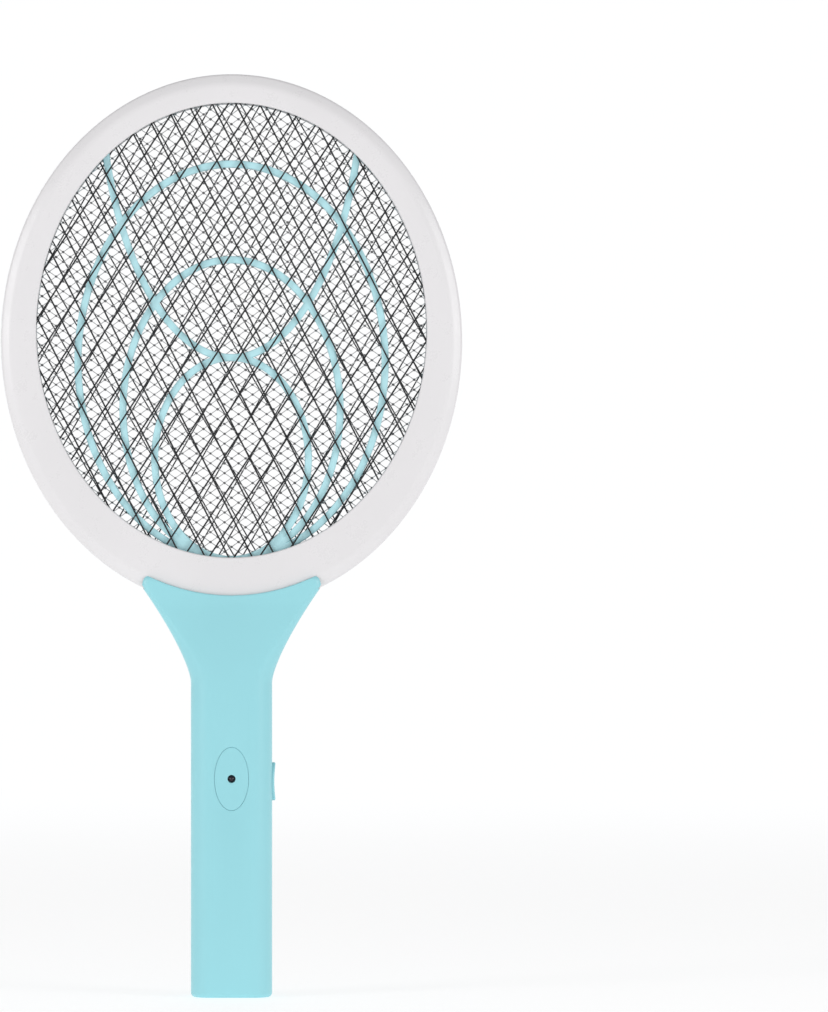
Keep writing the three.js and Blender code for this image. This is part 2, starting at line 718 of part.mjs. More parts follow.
// Screws, each a pan head and a shaft, driven in from the rear.
function screw({ seatY, tipY }) {
  const headY = [seatY + gap, seatY + gap + screwHeadHeight];
  const slotY = [headY[1] - crossSlot.depth, farSide];
  const long = [-crossSlot.halfLength, crossSlot.halfLength];
  const short = [-crossSlot.halfWidth, crossSlot.halfWidth];
  return barAlongY(0, 0, screwHead, headY, 12)
    .subtract(join(box(long, slotY, short), box(short, slotY, long)))
    .add(barAlongY(0, 0, screwShaft, [tipY, headY[0] + overlap], 8));
}

[
  ['upper_screw', upperScrews],
  ['lower_screw', lowerScrews],
].forEach(([name, placed]) => {
  [-1, 1].forEach((side) => {
    const piece = addPiece(`${name}_${side < 0 ? 'left' : 'right'}`, screw(placed), screwSteel, handle);
    piece.position.set(side * placed.x, 0, placed.z);
  });
});

// ---------------------------------------------------------------- push-button and its switch

const buttonFaceX = gripHalfWidth + buttonProud;
const buttonCap = sideOval(
  buttonHoleHalf.y - buttonGap,
  buttonHoleHalf.z - buttonGap,
  [buttonFlange.x[0], buttonFaceX],
);
const flangePlate = sideOval(
  buttonHoleHalf.y + buttonFlange.y,
  buttonHoleHalf.z + buttonFlange.z,
  buttonFlange.x,
);
// A finger dish: a wide drum whose skin scoops the cap's outer face.
const dishDrum = new THREE.CylinderGeometry(dishRadius, dishRadius, gripHalfDepth, 96);
const buttonDish = solid(dishDrum.translate(buttonFaceX - dishDepth + dishRadius, 0, buttonZ));
addPiece('power_button', join(buttonCap, flangePlate).subtract(buttonDish), aquaPlastic, handle);

// The switch: a case on the board, and a plunger that the button carries into it.
const boreBackX = switchCase.x[1] - plungerBoreDepth;
const around = (middle, half) => [middle - half, middle + half];
const switchBore = box(
  [boreBackX, farSide],
  around(0, plungerHalf + gap),
  around(buttonZ, plungerHalf + gap),
);
const switchHousing = box(switchCase.x, switchCase.y, around(buttonZ, switchCase.halfHeight));
addPiece('switch_housing', switchHousing.subtract(switchBore), blackResin, handle);
const plunger = box(
  [boreBackX + buttonTravel + gap, buttonFlange.x[0] - gap],
  around(0, plungerHalf),
  around(buttonZ, plungerHalf),
);
addPiece('switch_plunger', plunger, whitePlastic, handle);

// ---------------------------------------------------------------- circuit board

const electronics = new THREE.Group();
swatter.add(electronics);

const boardOutline = new THREE.Shape([
  new THREE.Vector2(-board.halfWidth, board.bottomZ),
  new THREE.Vector2(notch.x, board.bottomZ),
  new THREE.Vector2(notch.x, notch.topZ),
  new THREE.Vector2(board.halfWidth, notch.topZ),
  new THREE.Vector2(board.halfWidth, board.topZ),
  new THREE.Vector2(-board.halfWidth, board.topZ),
]);
const boardPlate = plate(boardOutline, [board.frontY, board.frontY + board.thickness]);
addPiece('circuit_board', boardPlate, boardResin, electronics);

const onBoardY = board.frontY - gap; // rear face of whatever stands on the board's front

// Step-up transformer: a ferrite shell with its winding in the window.
const shrunk = ([low, high], by) => [low + by, high - by];
const windowX = shrunk(core.x, core.windowX);
const windowZ = shrunk(core.z, core.windowZ);
const coreWindow = box(windowX, [-farSide, farSide], windowZ);
const coil = box(shrunk(windowX, gap), [core.y[0] - coilProud, core.y[1]], shrunk(windowZ, gap));
addPiece('transformer_core', box(core.x, core.y, core.z).subtract(coreWindow), ferrite, electronics);
addPiece('transformer_coil', coil, copper, electronics);

addPiece('storage_capacitor', box(storage.x, storage.y, storage.z), filmRed, electronics);

// Small lying parts: round bodies across the board.
[
  ['rectifier_diode_1', -2.5, 133.2, diode, blackResin],
  ['rectifier_diode_2', -2.5, 136.8, diode, blackResin],
  ['rectifier_diode_3', -2, 109.5, diode, blackResin],
  ['bleed_resistor', 6, 109.5, resistor, resistorBody],
  ['led_resistor', -2.5, 90, resistor, resistorBody],
].forEach(([name, x, z, { halfLength, radius }, material]) => {
  addPiece(name, barAlongX(onBoardY - radius, z, radius, around(x, halfLength)), material, electronics);
});

// Disc capacitor, standing on edge.
const discBody = barAlongX(disc.y, disc.z, disc.radius, around(disc.x, disc.halfThickness), 18);
addPiece('disc_capacitor', discBody, ceramicBlue, electronics);

// Oscillator transistor: a round body with a flat face.
const transistor = barAlongY(0, 0, oscillator.radius, [oscillator.topY, onBoardY], 18);
const beyondFlat = box([-farSide, farSide], [-farSide, farSide], [oscillator.flatZ, farSide]);
addPiece('oscillator_transistor', transistor.subtract(beyondFlat), blackResin, electronics).position.set(
  oscillator.x,
  0,
  oscillator.z,
);

// ---------------------------------------------------------------- cells, contacts and wires

const power = new THREE.Group();
swatter.add(power);

const cellProfile = [
  [0, 0],
  [6.5, 0],
  [cellRadius, 0.6],
  [cellRadius, 48.5],
  [6.4, 49.1],
  [2.7, 49.1],
  [2.7, cellLength],
  [0, cellLength],
].map(([r, along]) => new THREE.Vector2(r, along));
const cellSolid = solid(new THREE.LatheGeometry(cellProfile, 20).rotateX(Math.PI / 2));

const linkTopZ = bayFloorZ + gap + contactThickness;
const roofContactZ = bayRoofZ - gap - contactThickness;

// Left cell: positive end up against the roof. Right cell: turned end for end.
const leftCell = addPiece('cell_left', cellSolid, cellJacket, power);
leftCell.position.set(-cellX, 0, roofContactZ - gap - cellLength);
const rightCell = addPiece('cell_right', cellSolid, cellJacket, power);
rightCell.rotation.x = Math.PI;
rightCell.position.set(cellX, 0, linkTopZ + gap + cellLength);

// Coned contact springs, wide at the plate and narrow at the cell.
class ConedCoil extends THREE.Curve {
  constructor(turns, wide, narrow, height) {
    super();
    Object.assign(this, { turns, wide, narrow, height });
  }
  getPoint(t, target = new THREE.Vector3()) {
    const angle = t * this.turns * Math.PI * 2;
    const radius = THREE.MathUtils.lerp(this.wide, this.narrow, t);
    return target.set(radius * Math.cos(angle), radius * Math.sin(angle), t * this.height);
  }
}
const springRoom = roofContactZ - linkTopZ - cellLength - gap; // from a plate to the flat end of its cell
const springHeight = springRoom - 2 * (gap + springWire);
const springPath = new ConedCoil(springCoil.turns, springCoil.wide, springCoil.narrow, springHeight);
const springSolid = wireAlong(springPath, springWire, springCoil.turns * 8);
const leftSpring = addPiece('contact_spring_left', springSolid, springSteel, power);
leftSpring.position.set(-cellX, 0, linkTopZ + gap + springWire);
const rightSpring = addPiece('contact_spring_right', springSolid, springSteel, power);
rightSpring.rotation.x = Math.PI;
rightSpring.position.set(cellX, 0, roofContactZ - gap - springWire);

// Contact plates: one link across the bay's floor, and two under its roof with solder tabs behind it.
const linkBox = box(
  around(0, linkPlate.halfWidth),
  around(0, linkPlate.halfDepth),
  [bayFloorZ + gap, linkTopZ],
);
addPiece('link_contact', linkBox, springSteel, power);

function roofContact(x) {
  const backY = roofPlate.y[1];
  return join(
    box(around(x, roofPlate.halfWidth), roofPlate.y, [roofContactZ, roofContactZ + contactThickness]),
    box(around(x, solderTab.halfWidth), [backY - contactThickness, backY], [roofContactZ, solderTab.topZ]),
  );
}
addPiece('positive_contact', roofContact(-cellX), springSteel, power);
addPiece('negative_contact', roofContact(cellX), springSteel, power);

const smoothPath = (points) => new THREE.CatmullRomCurve3(points.map((p) => new THREE.Vector3(...p)));

// Battery leads, from the solder tabs to the front of the board.
[
  ['battery_lead_red', -1, redSleeve],
  ['battery_lead_black', 1, blackSleeve],
].forEach(([name, side, material]) => {
  const path = smoothPath([
    [side * cellX, 4.95, 78],
    [side * cellX, 4.2, 80.5],
    [side * 7, 2.2, 83.5],
    [side * 6.6, 2.1, 87],
  ]);
  addPiece(name, wireAlong(path, leadRadius, 6), material, power);
});

// High-voltage leads, from the board's top edge to the three grids' lugs.
const highLeads = [
  ['centre_grid_lead', redSleeve, [[1.5, 2.2, 137.5], [1.5, 1.8, 144], [0.4, 0.2, 152], [0, 0, 160.2]]],
  ['front_grid_lead', blackSleeve, [[5.2, 2.2, 137.5], [5, 0.6, 144], [6.6, -3.8, 153], [7.5, -4.4, 160.2]]],
  ['rear_grid_lead', blackSleeve, [[3.3, 2.2, 137.5], [3.6, 3.4, 144], [6.6, 4.3, 154], [7.5, 4.4, 160.2]]],
];
highLeads.forEach(([name, material, points]) => {
  addPiece(name, wireAlong(smoothPath(points), leadRadius, 9), material, power);
});

export default swatter;
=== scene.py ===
"""Looks of the electric fly swatter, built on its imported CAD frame.

Lengths are in millimetres until a mesh is made. The frame is the CAD model's: the origin is the middle of
the handle's end face, +Z runs up the handle, -Y is the front and +X is the push-button side.
"""

import math
import random

import bmesh
import bpy
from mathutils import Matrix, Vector


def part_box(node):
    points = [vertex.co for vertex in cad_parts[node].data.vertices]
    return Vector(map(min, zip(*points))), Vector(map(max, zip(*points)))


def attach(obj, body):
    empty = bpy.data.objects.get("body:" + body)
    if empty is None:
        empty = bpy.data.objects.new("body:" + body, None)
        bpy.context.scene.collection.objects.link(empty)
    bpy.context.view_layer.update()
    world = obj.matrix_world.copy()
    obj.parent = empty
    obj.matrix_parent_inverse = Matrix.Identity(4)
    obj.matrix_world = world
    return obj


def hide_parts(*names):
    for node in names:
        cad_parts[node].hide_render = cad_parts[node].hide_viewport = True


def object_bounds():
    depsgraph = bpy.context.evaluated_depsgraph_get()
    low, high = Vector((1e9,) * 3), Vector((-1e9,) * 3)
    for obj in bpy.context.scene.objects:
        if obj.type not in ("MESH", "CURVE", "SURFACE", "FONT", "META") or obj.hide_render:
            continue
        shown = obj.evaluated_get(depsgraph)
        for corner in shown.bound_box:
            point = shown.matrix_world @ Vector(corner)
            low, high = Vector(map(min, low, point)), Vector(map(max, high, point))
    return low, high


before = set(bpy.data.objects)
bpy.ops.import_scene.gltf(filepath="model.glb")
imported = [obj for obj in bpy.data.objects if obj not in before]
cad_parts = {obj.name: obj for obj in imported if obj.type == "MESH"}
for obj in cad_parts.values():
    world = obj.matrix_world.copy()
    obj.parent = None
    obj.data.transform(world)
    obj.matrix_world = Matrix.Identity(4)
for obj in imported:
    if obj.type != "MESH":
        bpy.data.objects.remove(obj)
cad_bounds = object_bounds()

# ---- driving dimensions

MM = 0.001


def box_mm(node):
    low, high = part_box(node)
    return low / MM, high / MM


def centre_mm(node):
    low, high = box_mm(node)
    return (low + high) / 2


RING_LOW, RING_HIGH = box_mm("front_ring")
SEAM = 0.04  # half the fine line between the front and rear halves
CLEARANCE = 0.3  # between pieces that touch on the real object

# Head: its outline and its opening are ovals around centres of their own
HEAD = (RING_HIGH.x, 121.5, RING_HIGH.z - 121.5)  # half width, half height, centre height
OPENING = (88.8, 103.4, 303.4)
HEAD_DEPTH = -RING_LOW.y
RING_WALL = 2.0
RING_FACE = 1.8
RING_BEVEL = (4.8, 2.3)  # how far the bevel reaches over the face, and down the side
TONGUE_HALF_WIDTH = 20.0
TONGUE_DEPTHS = (0.8, 6.0)
TONGUE_SCREW_BORE = 2.05

# Grids and rib frames
OUTER_PITCH = 9.6
OUTER_LEAN = 30.0
OUTER_GRID_Y = 4.4
OUTER_WANDER = 0.1  # how far a wire strays from its even place
# half, Y, turn in degrees, a point that a wire of each family runs near, thickness, random seed
OUTER_GRIDS = (
    ("front", -OUTER_GRID_Y, 3.25, (-2.0, 265.3), 0.76, 11),
    ("rear", OUTER_GRID_Y, 0.0, (14.2, 255.0), 0.62, 23),
)
CENTRE_SEED = 5
CENTRE_PITCH = 3.67
CENTRE_WIRE = 0.36
CENTRE_LEAN = 55.0
CENTRE_WANDER = 0.04
WELD_SIZES = (0.58, 0.72)
GRID_RIM = (1.0, 3.4)  # how far outside the opening a grid's rim starts and ends
FRAME_RIM = (0.6, 5.0)
LUG_X = 7.5  # of the outer grids' solder lugs; the centre grid's is in the middle
LUG_HALF_WIDTH = 2.0
LUG_SLOTS = ((LUG_X, OUTER_GRID_Y, 0.75), (0, 0, 0.5))  # x, distance from the parting plane, half depth
LUG_SLOT_HALF_WIDTH = 2.3
LUG_SLOT_ZS = (158, 190)
RIB_WIDTH = 3.2
RIB_DEPTHS = (0.8, 3.1)
RIB_OVALS = ((70.0, 90.1, 289.2), (49.5, 68.3, 267.4), (35.0, 46.0, 245.1))
RIB_BOWL = (60.4, 135.7, 426.8)

# Handle
SHELL_LOW, _ = box_mm("front_shell")
GRIP_HALF_WIDTH = 18.5
GRIP_HALF_DEPTH = -SHELL_LOW.y
GRIP_CORNER = 9.0
HORN_CORNER = 4.0
HORN_HALF_DEPTH = 9.2
HORN_OVERLAP = 5.8
HORN_END = Vector((41.6, 187.8))
HORN_TIP_X = 39.0
NECK_START_Z = 143.0
FLARE_PULLS = (Vector((GRIP_HALF_WIDTH, 149.0)), Vector((26.0, 166.0)))
TIP_SHARE = 0.9
DEPTH_EASE_Z = (NECK_START_Z, 181.0)
SHELL_WALL = 2.0
FOOT_ROUND = 2.0
LIP_ROUND = 0.25
DOOR_TOP_Z = 87.5
END_TONGUE = (9.0, -3.0, 8.4)  # half width, front and back
NECK_STEPS = 36
CORNER_HASTE = 1.4  # the corners reach the horns' radius before the top
HORN_LIP = (0.6, 0.5)  # height and inset of the horns' upper rounding

# Extra rows beside cuts, which keep their effect on the shading near them
REAR_ROW_DROPS = (24, 9, 5, 0)  # below the neck's start
DOOR_ROW_ZS = (63, 66, 81, 83)

# Cell bay and door: each pair is a block's X and Y reach
BAY_WALL_ZS = (12, 72.5)
BAY_HALF_WIDTH = 14.5
BAY_WALL = 2
DOOR_RAILS = (((14.95, 17.5), (SEAM, 1.6)), ((14.95, 16.2), (-2.2, 0.8)), ((15.2, 17.1), (-2.2, -1.4)))
DOOR_RAIL_ZS = (4, 84.5)
RAIL_GROOVES = (((14.65, 16.5), (-2.5, 0.9)), ((14.9, 17.4), (-2.5, -1.1)))
RAIL_GROOVE_ZS = (-1, 84.8)
LATCH_HALF_WIDTH = 5
LATCH_TAB = (((9.3, 10.9), (80, 86.5), 0.2), ((8.8, 10.2), (80, 91), 0.3))  # Y and Z reach, rounding
THUMB_GROOVES = [(68.6 + i * 2.6, 7 - abs(i - 2) * 0.9) for i in range(5)]  # height, half length

BUTTON_LOW, BUTTON_HIGH = box_mm("power_button")
BUTTON_Z = (BUTTON_LOW.z + BUTTON_HIGH.z) / 2
BUTTON_HOLE = (5.4, 9.15)
PLATE = centre_mm("indicator_plate")
PLATE_LOW, PLATE_HIGH = box_mm("indicator_plate")
PLATE_HALF_HEIGHT = (PLATE_HIGH.z - PLATE_LOW.z) / 2
PLATE_SEAT = 1.1  # depth of the seat under the grip's face
PLATE_LINE = 0.1  # the fine line around the indicator's plate
LED_HOLE = 1.8
SCREW_HEAD = 2.6
SCREW_SEAT_Y = {"upper": 7.8, "lower": 7.0}
SCREW_BORE = 1.75
TONGUE_START_Z = 160  # screws above this height pass through the ring's tongues
REAR_POST, REAR_POST_ROOT = 4.0, 1.8  # radius, and how far under the outer face it starts
FRONT_POST, FRONT_POST_ROOT = 3.3, 1.6
BOARD_POST = 1.8
BOARD_POSTS = ((-10.5, 88), (-10.5, 135), (10.5, 135))

# ---- mesh tools


def lerp(a, b, t):
    return a + (b - a) * t


def quarter_turns(steps):
    """Angles from 0 to a right angle."""
    return [i / steps * math.pi / 2 for i in range(steps + 1)]


def roll(radius, steps):
    """A rounded edge as (rise, drop) pairs: rise goes from 0 to the radius, drop back to 0."""
    return [(radius * (1 - math.cos(turn)), radius * (1 - math.sin(turn))) for turn in quarter_turns(steps)]


def round_off(a, corner, b, steps):
    """Points of the quarter oval from a to b that the lines to the corner touch."""
    return [
        corner + (a - corner) * (1 - math.sin(turn)) + (b - corner) * (1 - math.cos(turn))
        for turn in quarter_turns(steps)
    ]


def rounded_outline(corners):
    """A closed outline from (u, v, radius, steps) corners, each rounded off."""
    outline = []
    for i, (u, v, radius, steps) in enumerate(corners):
        corner = Vector((u, v))
        before = Vector(corners[i - 1][:2])
        after = Vector(corners[(i + 1) % len(corners)][:2])
        if not radius:
            outline.append(corner)
            continue
        start = corner + (before - corner).normalized() * radius
        end = corner + (after - corner).normalized() * radius
        outline.extend(round_off(start, corner, end, steps))
    return outline


def rounded_box(us, vs, radius, steps=3):
    corners = ((us[0], vs[0]), (us[1], vs[0]), (us[1], vs[1]), (us[0], vs[1]))
    return rounded_outline([(u, v, radius, steps) for u, v in corners])


def skin(rows, closed=False, strips=False):
    """Quads between equal rows of points, each closed on itself. An open skin is capped at both ends,
    by one face or by strips between the points that face each other."""
    count = len(rows[0])
    points = [point for row in rows for point in row]
    faces = []
    for level in range(len(rows) if closed else len(rows) - 1):
        here, there = level * count, (level + 1) % len(rows) * count
        for i in range(count):
            j = (i + 1) % count
            faces.append((here + i, here + j, there + j, there + i))
    if closed:
        return points, faces
    for first, flip in ((0, True), ((len(rows) - 1) * count, False)):
        if strips:
            caps = [strip(i, count) for i in range(count // 2)]
        else:
            caps = [range(count)]
        for cap in caps:
            cap = [first + i for i in cap]
            faces.append(tuple(reversed(cap)) if flip else tuple(cap))
    return points, faces


def strip(i, count):
    """The cap's face between points i and i + 1 and the two that face them."""
    face = []
    for k in (i, i + 1, count - i - 1, (count - i) % count):
        if k not in face:
            face.append(k)
    return face


def oval_at(oval, angle):
    half_x, half_z, centre_z = oval
    return Vector((half_x * math.cos(angle), 0, centre_z + half_z * math.sin(angle)))


def oval_out(oval, angle):
    """The oval's outward direction at an angle."""
    half_x, half_z, _ = oval
    return Vector((math.cos(angle) / half_x, 0, math.sin(angle) / half_z)).normalized()


def turns(count):
    """Angles all the way round."""
    return [2 * math.pi * (i / count) for i in range(count)]


def oval_sweep(oval, outline, angles, closed=True):
    """An outline of (outwards, y) points carried along an oval."""
    rows = []
    for angle in angles:
        foot, out = oval_at(oval, angle), oval_out(oval, angle)
        rows.append([foot + out * u + Vector((0, y, 0)) for u, y in outline])
    return skin(rows, closed)


def tube(path, radius, sides=12):
    """A round bar along a path of points, with flat ends."""
    rows = []
    side = None
    for i, point in enumerate(path):
        along = (path[min(i + 1, len(path) - 1)] - path[max(i - 1, 0)]).normalized()
        if side is None:
            side = along.orthogonal().normalized()
        side = (side - along * side.dot(along)).normalized()
        other = along.cross(side)
        rows.append([point + (side * math.cos(a) + other * math.sin(a)) * radius
                     for a in turns(sides)])
    return skin(rows)


def lathe(profile, segments, place):
    """A profile of (radius, along) points turned round an axis, at place(across, other, along)."""
    rows = []
    for radius, along in profile:
        rows.append([place(radius * math.cos(a), radius * math.sin(a), along)
                     for a in turns(segments)])
    return skin(rows)


def along_y(x, z):
    return lambda across, other, along: Vector((x + across, along, z + other))


def bar_y(x, z, radius, low, high, segments=40):
    """A round bar along Y."""
    corners = map(Vector, ((0, low), (radius, low), (radius, high), (0, high)))
    return lathe([(max(r, 0.01), y) for r, y in corners], segments, along_y(x, z))


def block(xs, ys, zs, edge=0.3):
    """A box with rounded edges along Z and eased ends."""
    outline = rounded_box(xs, ys, edge)
    middle = Vector(((xs[0] + xs[1]) / 2, (ys[0] + ys[1]) / 2))
    half = Vector(((xs[1] - xs[0]) / 2, (ys[1] - ys[0]) / 2))
    rows = []
    for z, ease in ((zs[0], edge), (zs[0] + edge, 0), (zs[1] - edge, 0), (zs[1], edge)):
        shrink = Vector(((half.x - ease) / half.x, (half.y - ease) / half.y))
        row = []
        for p in outline:
            x = middle.x + (p.x - middle.x) * shrink.x
            y = middle.y + (p.y - middle.y) * shrink.y
            row.append(Vector((x, y, z)))
        rows.append(row)
    return skin(rows)


def add_object(name, data):
    made = bpy.data.objects.new(name, data)
    bpy.context.scene.collection.objects.link(made)
    return made


def make_object(name, *parts):
    """One mesh object, in metres, from (points, faces) parts."""
    points, faces = [], []
    for part_points, part_faces in parts:
        start = len(points)
        points.extend(point * MM for point in part_points)
        faces.extend(tuple(start + i for i in face) for face in part_faces)
    mesh = bpy.data.meshes.new(name)
    mesh.from_pydata(points, [], faces)
    shape = bmesh.new()
    shape.from_mesh(mesh)
    bmesh.ops.recalc_face_normals(shape, faces=shape.faces)
    shape.to_mesh(mesh)
    shape.free()
    return add_object(name, mesh)


def combine(piece, operation, parts):
    """Applies parts to a piece one after another."""
    for part in parts:
        tool = make_object("tool", part)
        step = piece.modifiers.new("step", "BOOLEAN")
        step.operation, step.solver, step.object = operation, "MANIFOLD", tool
        evaluated = piece.evaluated_get(bpy.context.evaluated_depsgraph_get())
        result = bpy.data.meshes.new_from_object(evaluated)
        piece.modifiers.clear()
        old, piece.data = piece.data, result
        bpy.data.meshes.remove(old)
        bpy.data.objects.remove(tool)


def join(piece, *parts):
    combine(piece, "UNION", parts)


def cut(piece, *parts):
    combine(piece, "DIFFERENCE", parts)


def finish_piece(piece, material, body, nodes, sharp_degrees=38):
    """Shades a piece, paints it, and hands it to its body in place of its CAD nodes."""
    mesh = piece.data
    mesh.polygons.foreach_set("use_smooth", [True] * len(mesh.polygons))
    mesh.set_sharp_from_angle(angle=math.radians(sharp_degrees))
    materials = material if isinstance(material, tuple) else (material,)
    painted = [min(face.material_index, len(materials) - 1) for face in mesh.polygons]
    mesh.materials.clear()
    for one in materials:
        mesh.materials.append(one)
    mesh.polygons.foreach_set("material_index", painted)
    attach(piece, body)
    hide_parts(*nodes)


# ---- materials


def map_range(tree, value, start, stop, low=0.0, high=1.0, kind="LINEAR"):
    """A value from start to stop, mapped to low to high."""
    node = tree.nodes.new("ShaderNodeMapRange")
    node.interpolation_type = kind
    numbers = {"From Min": start, "From Max": stop, "To Min": low, "To Max": high}
    for socket, number in numbers.items():
        node.inputs[socket].default_value = number
    tree.links.new(value, node.inputs["Value"])
    return node.outputs["Result"]


def mixed(tree, factor, first, second):
    """Two colours, or an earlier mix and a colour, mixed by a value."""
    node = tree.nodes.new("ShaderNodeMix")
    node.data_type = "RGBA"
    tree.links.new(factor, node.inputs["Factor"])
    for socket, colour in ((node.inputs[6], first), (node.inputs[7], second)):
        if isinstance(colour, bpy.types.NodeSocket):
            tree.links.new(colour, socket)
        else:
            socket.default_value = (*colour[:3], 1)
    return node.outputs[2]


class Surface:
    """A Principled material and the few nodes that vary it."""

    def __init__(self, name, roughness, metallic=0.0, **sockets):
        self.material = bpy.data.materials.new(name)
        self.material.use_nodes = True
        self.tree = self.material.node_tree
        self.shader = self.tree.nodes["Principled BSDF"]
        self.shader.inputs["Roughness"].default_value = roughness
        self.shader.inputs["Metallic"].default_value = metallic
        for socket, value in sockets.items():
            self.shader.inputs[socket.replace("_", " ")].default_value = value
        self.place = self.tree.nodes.new("ShaderNodeTexCoord").outputs["Object"]

    def link(self, source, target):
        self.tree.links.new(source, target)

    def noise(self, size_mm, detail=2.0, stretch=(1, 1, 1)):
        """Noise whose blotches are about size_mm across."""
        mapping = self.tree.nodes.new("ShaderNodeMapping")
        mapping.inputs["Scale"].default_value = [1 / (size_mm * MM * s) for s in stretch]
        self.link(self.place, mapping.inputs["Vector"])
        node = self.tree.nodes.new("ShaderNodeTexNoise")
        node.inputs["Scale"].default_value = 1.0
        node.inputs["Detail"].default_value = detail
        self.link(mapping.outputs["Vector"], node.inputs["Vector"])
        return node.outputs["Fac"]

    def cells(self, size_mm):
        """Distance from the middle of cells about size_mm across."""
        node = self.tree.nodes.new("ShaderNodeTexVoronoi")
        node.inputs["Scale"].default_value = 1 / (size_mm * MM)
        self.link(self.place, node.inputs["Vector"])
        return node.outputs["Distance"]

    def ranged(self, value, low, high, start=0.3, stop=0.7):
        return map_range(self.tree, value, start, stop, low, high)

    def blend(self, factor, first, second):
        return mixed(self.tree, factor, first, second)

    def add(self, first, second, share):
        node = self.tree.nodes.new("ShaderNodeMath")
        node.operation = "MULTIPLY_ADD"
        node.inputs[1].default_value = share
        self.link(second, node.inputs[0])
        self.link(first, node.inputs[2])
        return node.outputs["Value"]

    def colour(self, source):
        self.link(source, self.shader.inputs["Base Color"])

    def roughness(self, source):
        self.link(source, self.shader.inputs["Roughness"])

    def bump(self, source, depth_mm):
        node = self.tree.nodes.new("ShaderNodeBump")
        node.inputs["Distance"].default_value = depth_mm * MM
        self.link(source, node.inputs["Height"])
        self.link(node.outputs["Normal"], self.shader.inputs["Normal"])


def tinted(colour, share):
    return tuple(min(1.0, c * share) for c in colour)


def moulded_plastic(name, colour, roughness, grain_mm, grain_depth_mm):
    """Satin moulded plastic: fine eroded grain, slight cloudiness, small specks, uneven gloss."""
    surface = Surface(name, roughness, IOR=1.5)
    cloud = surface.ranged(surface.noise(55, 3, (1, 1, 2.2)), 0, 1)
    faint = surface.blend(cloud, tinted(colour, 0.972), tinted(colour, 1.02))
    specks = surface.ranged(surface.cells(2.6), 0.35, 0, 0.0, 0.07)
    surface.colour(surface.blend(specks, faint, tinted(colour, 0.9)))
    gloss = surface.add(surface.noise(9, 3), surface.noise(0.7, 1), 0.5)
    surface.roughness(surface.ranged(gloss, roughness - 0.06, roughness + 0.07, 0.45, 1.05))
    grain = surface.add(surface.noise(grain_mm, 2), surface.noise(14, 1), 4.0)
    surface.bump(grain, grain_depth_mm)
    return surface.material


def coated_wire(name, colour, worn):
    """Dipped black wire: a slightly wavy coat, thin enough in places for the steel to show through."""
    surface = Surface(name, 0.34, 0.25, IOR=1.5)
    bare = surface.ranged(surface.noise(3.5, 4), 0, 0.55, 0.62, 0.78)
    surface.colour(surface.blend(bare, colour, worn))
    surface.roughness(surface.ranged(surface.noise(1.3, 2), 0.26, 0.46))
    surface.bump(surface.noise(0.8, 2), 0.03)
    return surface.material


def bright_metal(name, colour, roughness, streak_mm=(0.2, 0.2, 6)):
    """Drawn or plated metal with fine streaks along one direction and faint tarnish."""
    surface = Surface(name, roughness, 1.0)
    tarnish = surface.ranged(surface.noise(7, 3), 0, 1, 0.35, 0.75)
    surface.colour(surface.blend(tarnish, colour, tinted(colour, 0.78)))
    streaks = surface.noise(1.0, 2, streak_mm)
    surface.roughness(surface.ranged(streaks, roughness - 0.06, roughness + 0.12))
    surface.bump(streaks, 0.01)
    return surface.material


def dull_body(name, colour, roughness, grain_mm=0.6, depth_mm=0.02):
    """Resin, ferrite or dipped ceramic: even colour with fine mottling."""
    surface = Surface(name, roughness, IOR=1.5)
    mottling = surface.ranged(surface.noise(2.2, 3), 0, 1)
    surface.colour(surface.blend(mottling, tinted(colour, 0.85), tinted(colour, 1.1)))
    surface.roughness(surface.ranged(surface.noise(1.5, 2), roughness - 0.05, roughness + 0.08))
    surface.bump(surface.noise(grain_mm, 3), depth_mm)
    return surface.material


def cell_jacket():
    """A cell's green plastic sleeve. The pale band at its positive end is another material."""
    surface = Surface("cell_jacket", 0.28, 0.15, IOR=1.5, Coat_Weight=0.4)
    cloud = surface.ranged(surface.noise(14, 1), 0, 1)
    surface.colour(surface.blend(cloud, (0.035, 0.21, 0.155), (0.045, 0.25, 0.185)))
    surface.roughness(surface.ranged(surface.noise(9, 2), 0.2, 0.28))
    surface.bump(surface.noise(9, 1), 0.012)
    return surface.material


def smoked_lens():
    """The lamp's dark tinted epoxy, with patches that are a little redder."""
    surface = Surface("smoked_lens", 0.08, IOR=1.54)
    patches = surface.ranged(surface.noise(1.1, 1), 0, 1)
    surface.colour(surface.blend(patches, (0.004, 0.002, 0.012), (0.02, 0.003, 0.008)))
    surface.roughness(surface.ranged(surface.noise(0.8, 2), 0.05, 0.14))
    surface.bump(surface.noise(0.9, 1), 0.01)
    return surface.material


AQUA = moulded_plastic("aqua_plastic", (0.321, 0.697, 0.763), 0.36, 0.32, 0.014)
AQUA_RIB = moulded_plastic("aqua_rib_plastic", (0.5, 0.82, 0.88), 0.38, 0.5, 0.01)
WHITE = moulded_plastic("white_plastic", (0.79, 0.774, 0.785), 0.3, 0.45, 0.008)
BLACK_WIRE = coated_wire("black_wire", (0.012, 0.012, 0.014), (0.3, 0.3, 0.31))
SILVER_WIRE = bright_metal("silver_wire", (0.6, 0.6, 0.61), 0.3, (1, 1, 1))
WELD = dull_body("weld_bead", (0.13, 0.13, 0.135), 0.45)
SPRING_STEEL = bright_metal("spring_steel", (0.66, 0.65, 0.63), 0.24)
SCREW_STEEL = bright_metal("screw_steel", (0.5, 0.51, 0.53), 0.32)
LENS = smoked_lens()
CELL = cell_jacket()
CELL_BAND = dull_body("cell_band", (0.7, 0.66, 0.5), 0.35)
BLACK_RESIN = dull_body("black_resin", (0.018, 0.018, 0.02), 0.5)
BOARD = dull_body("board_resin", (0.42, 0.26, 0.1), 0.5, 0.3, 0.015)
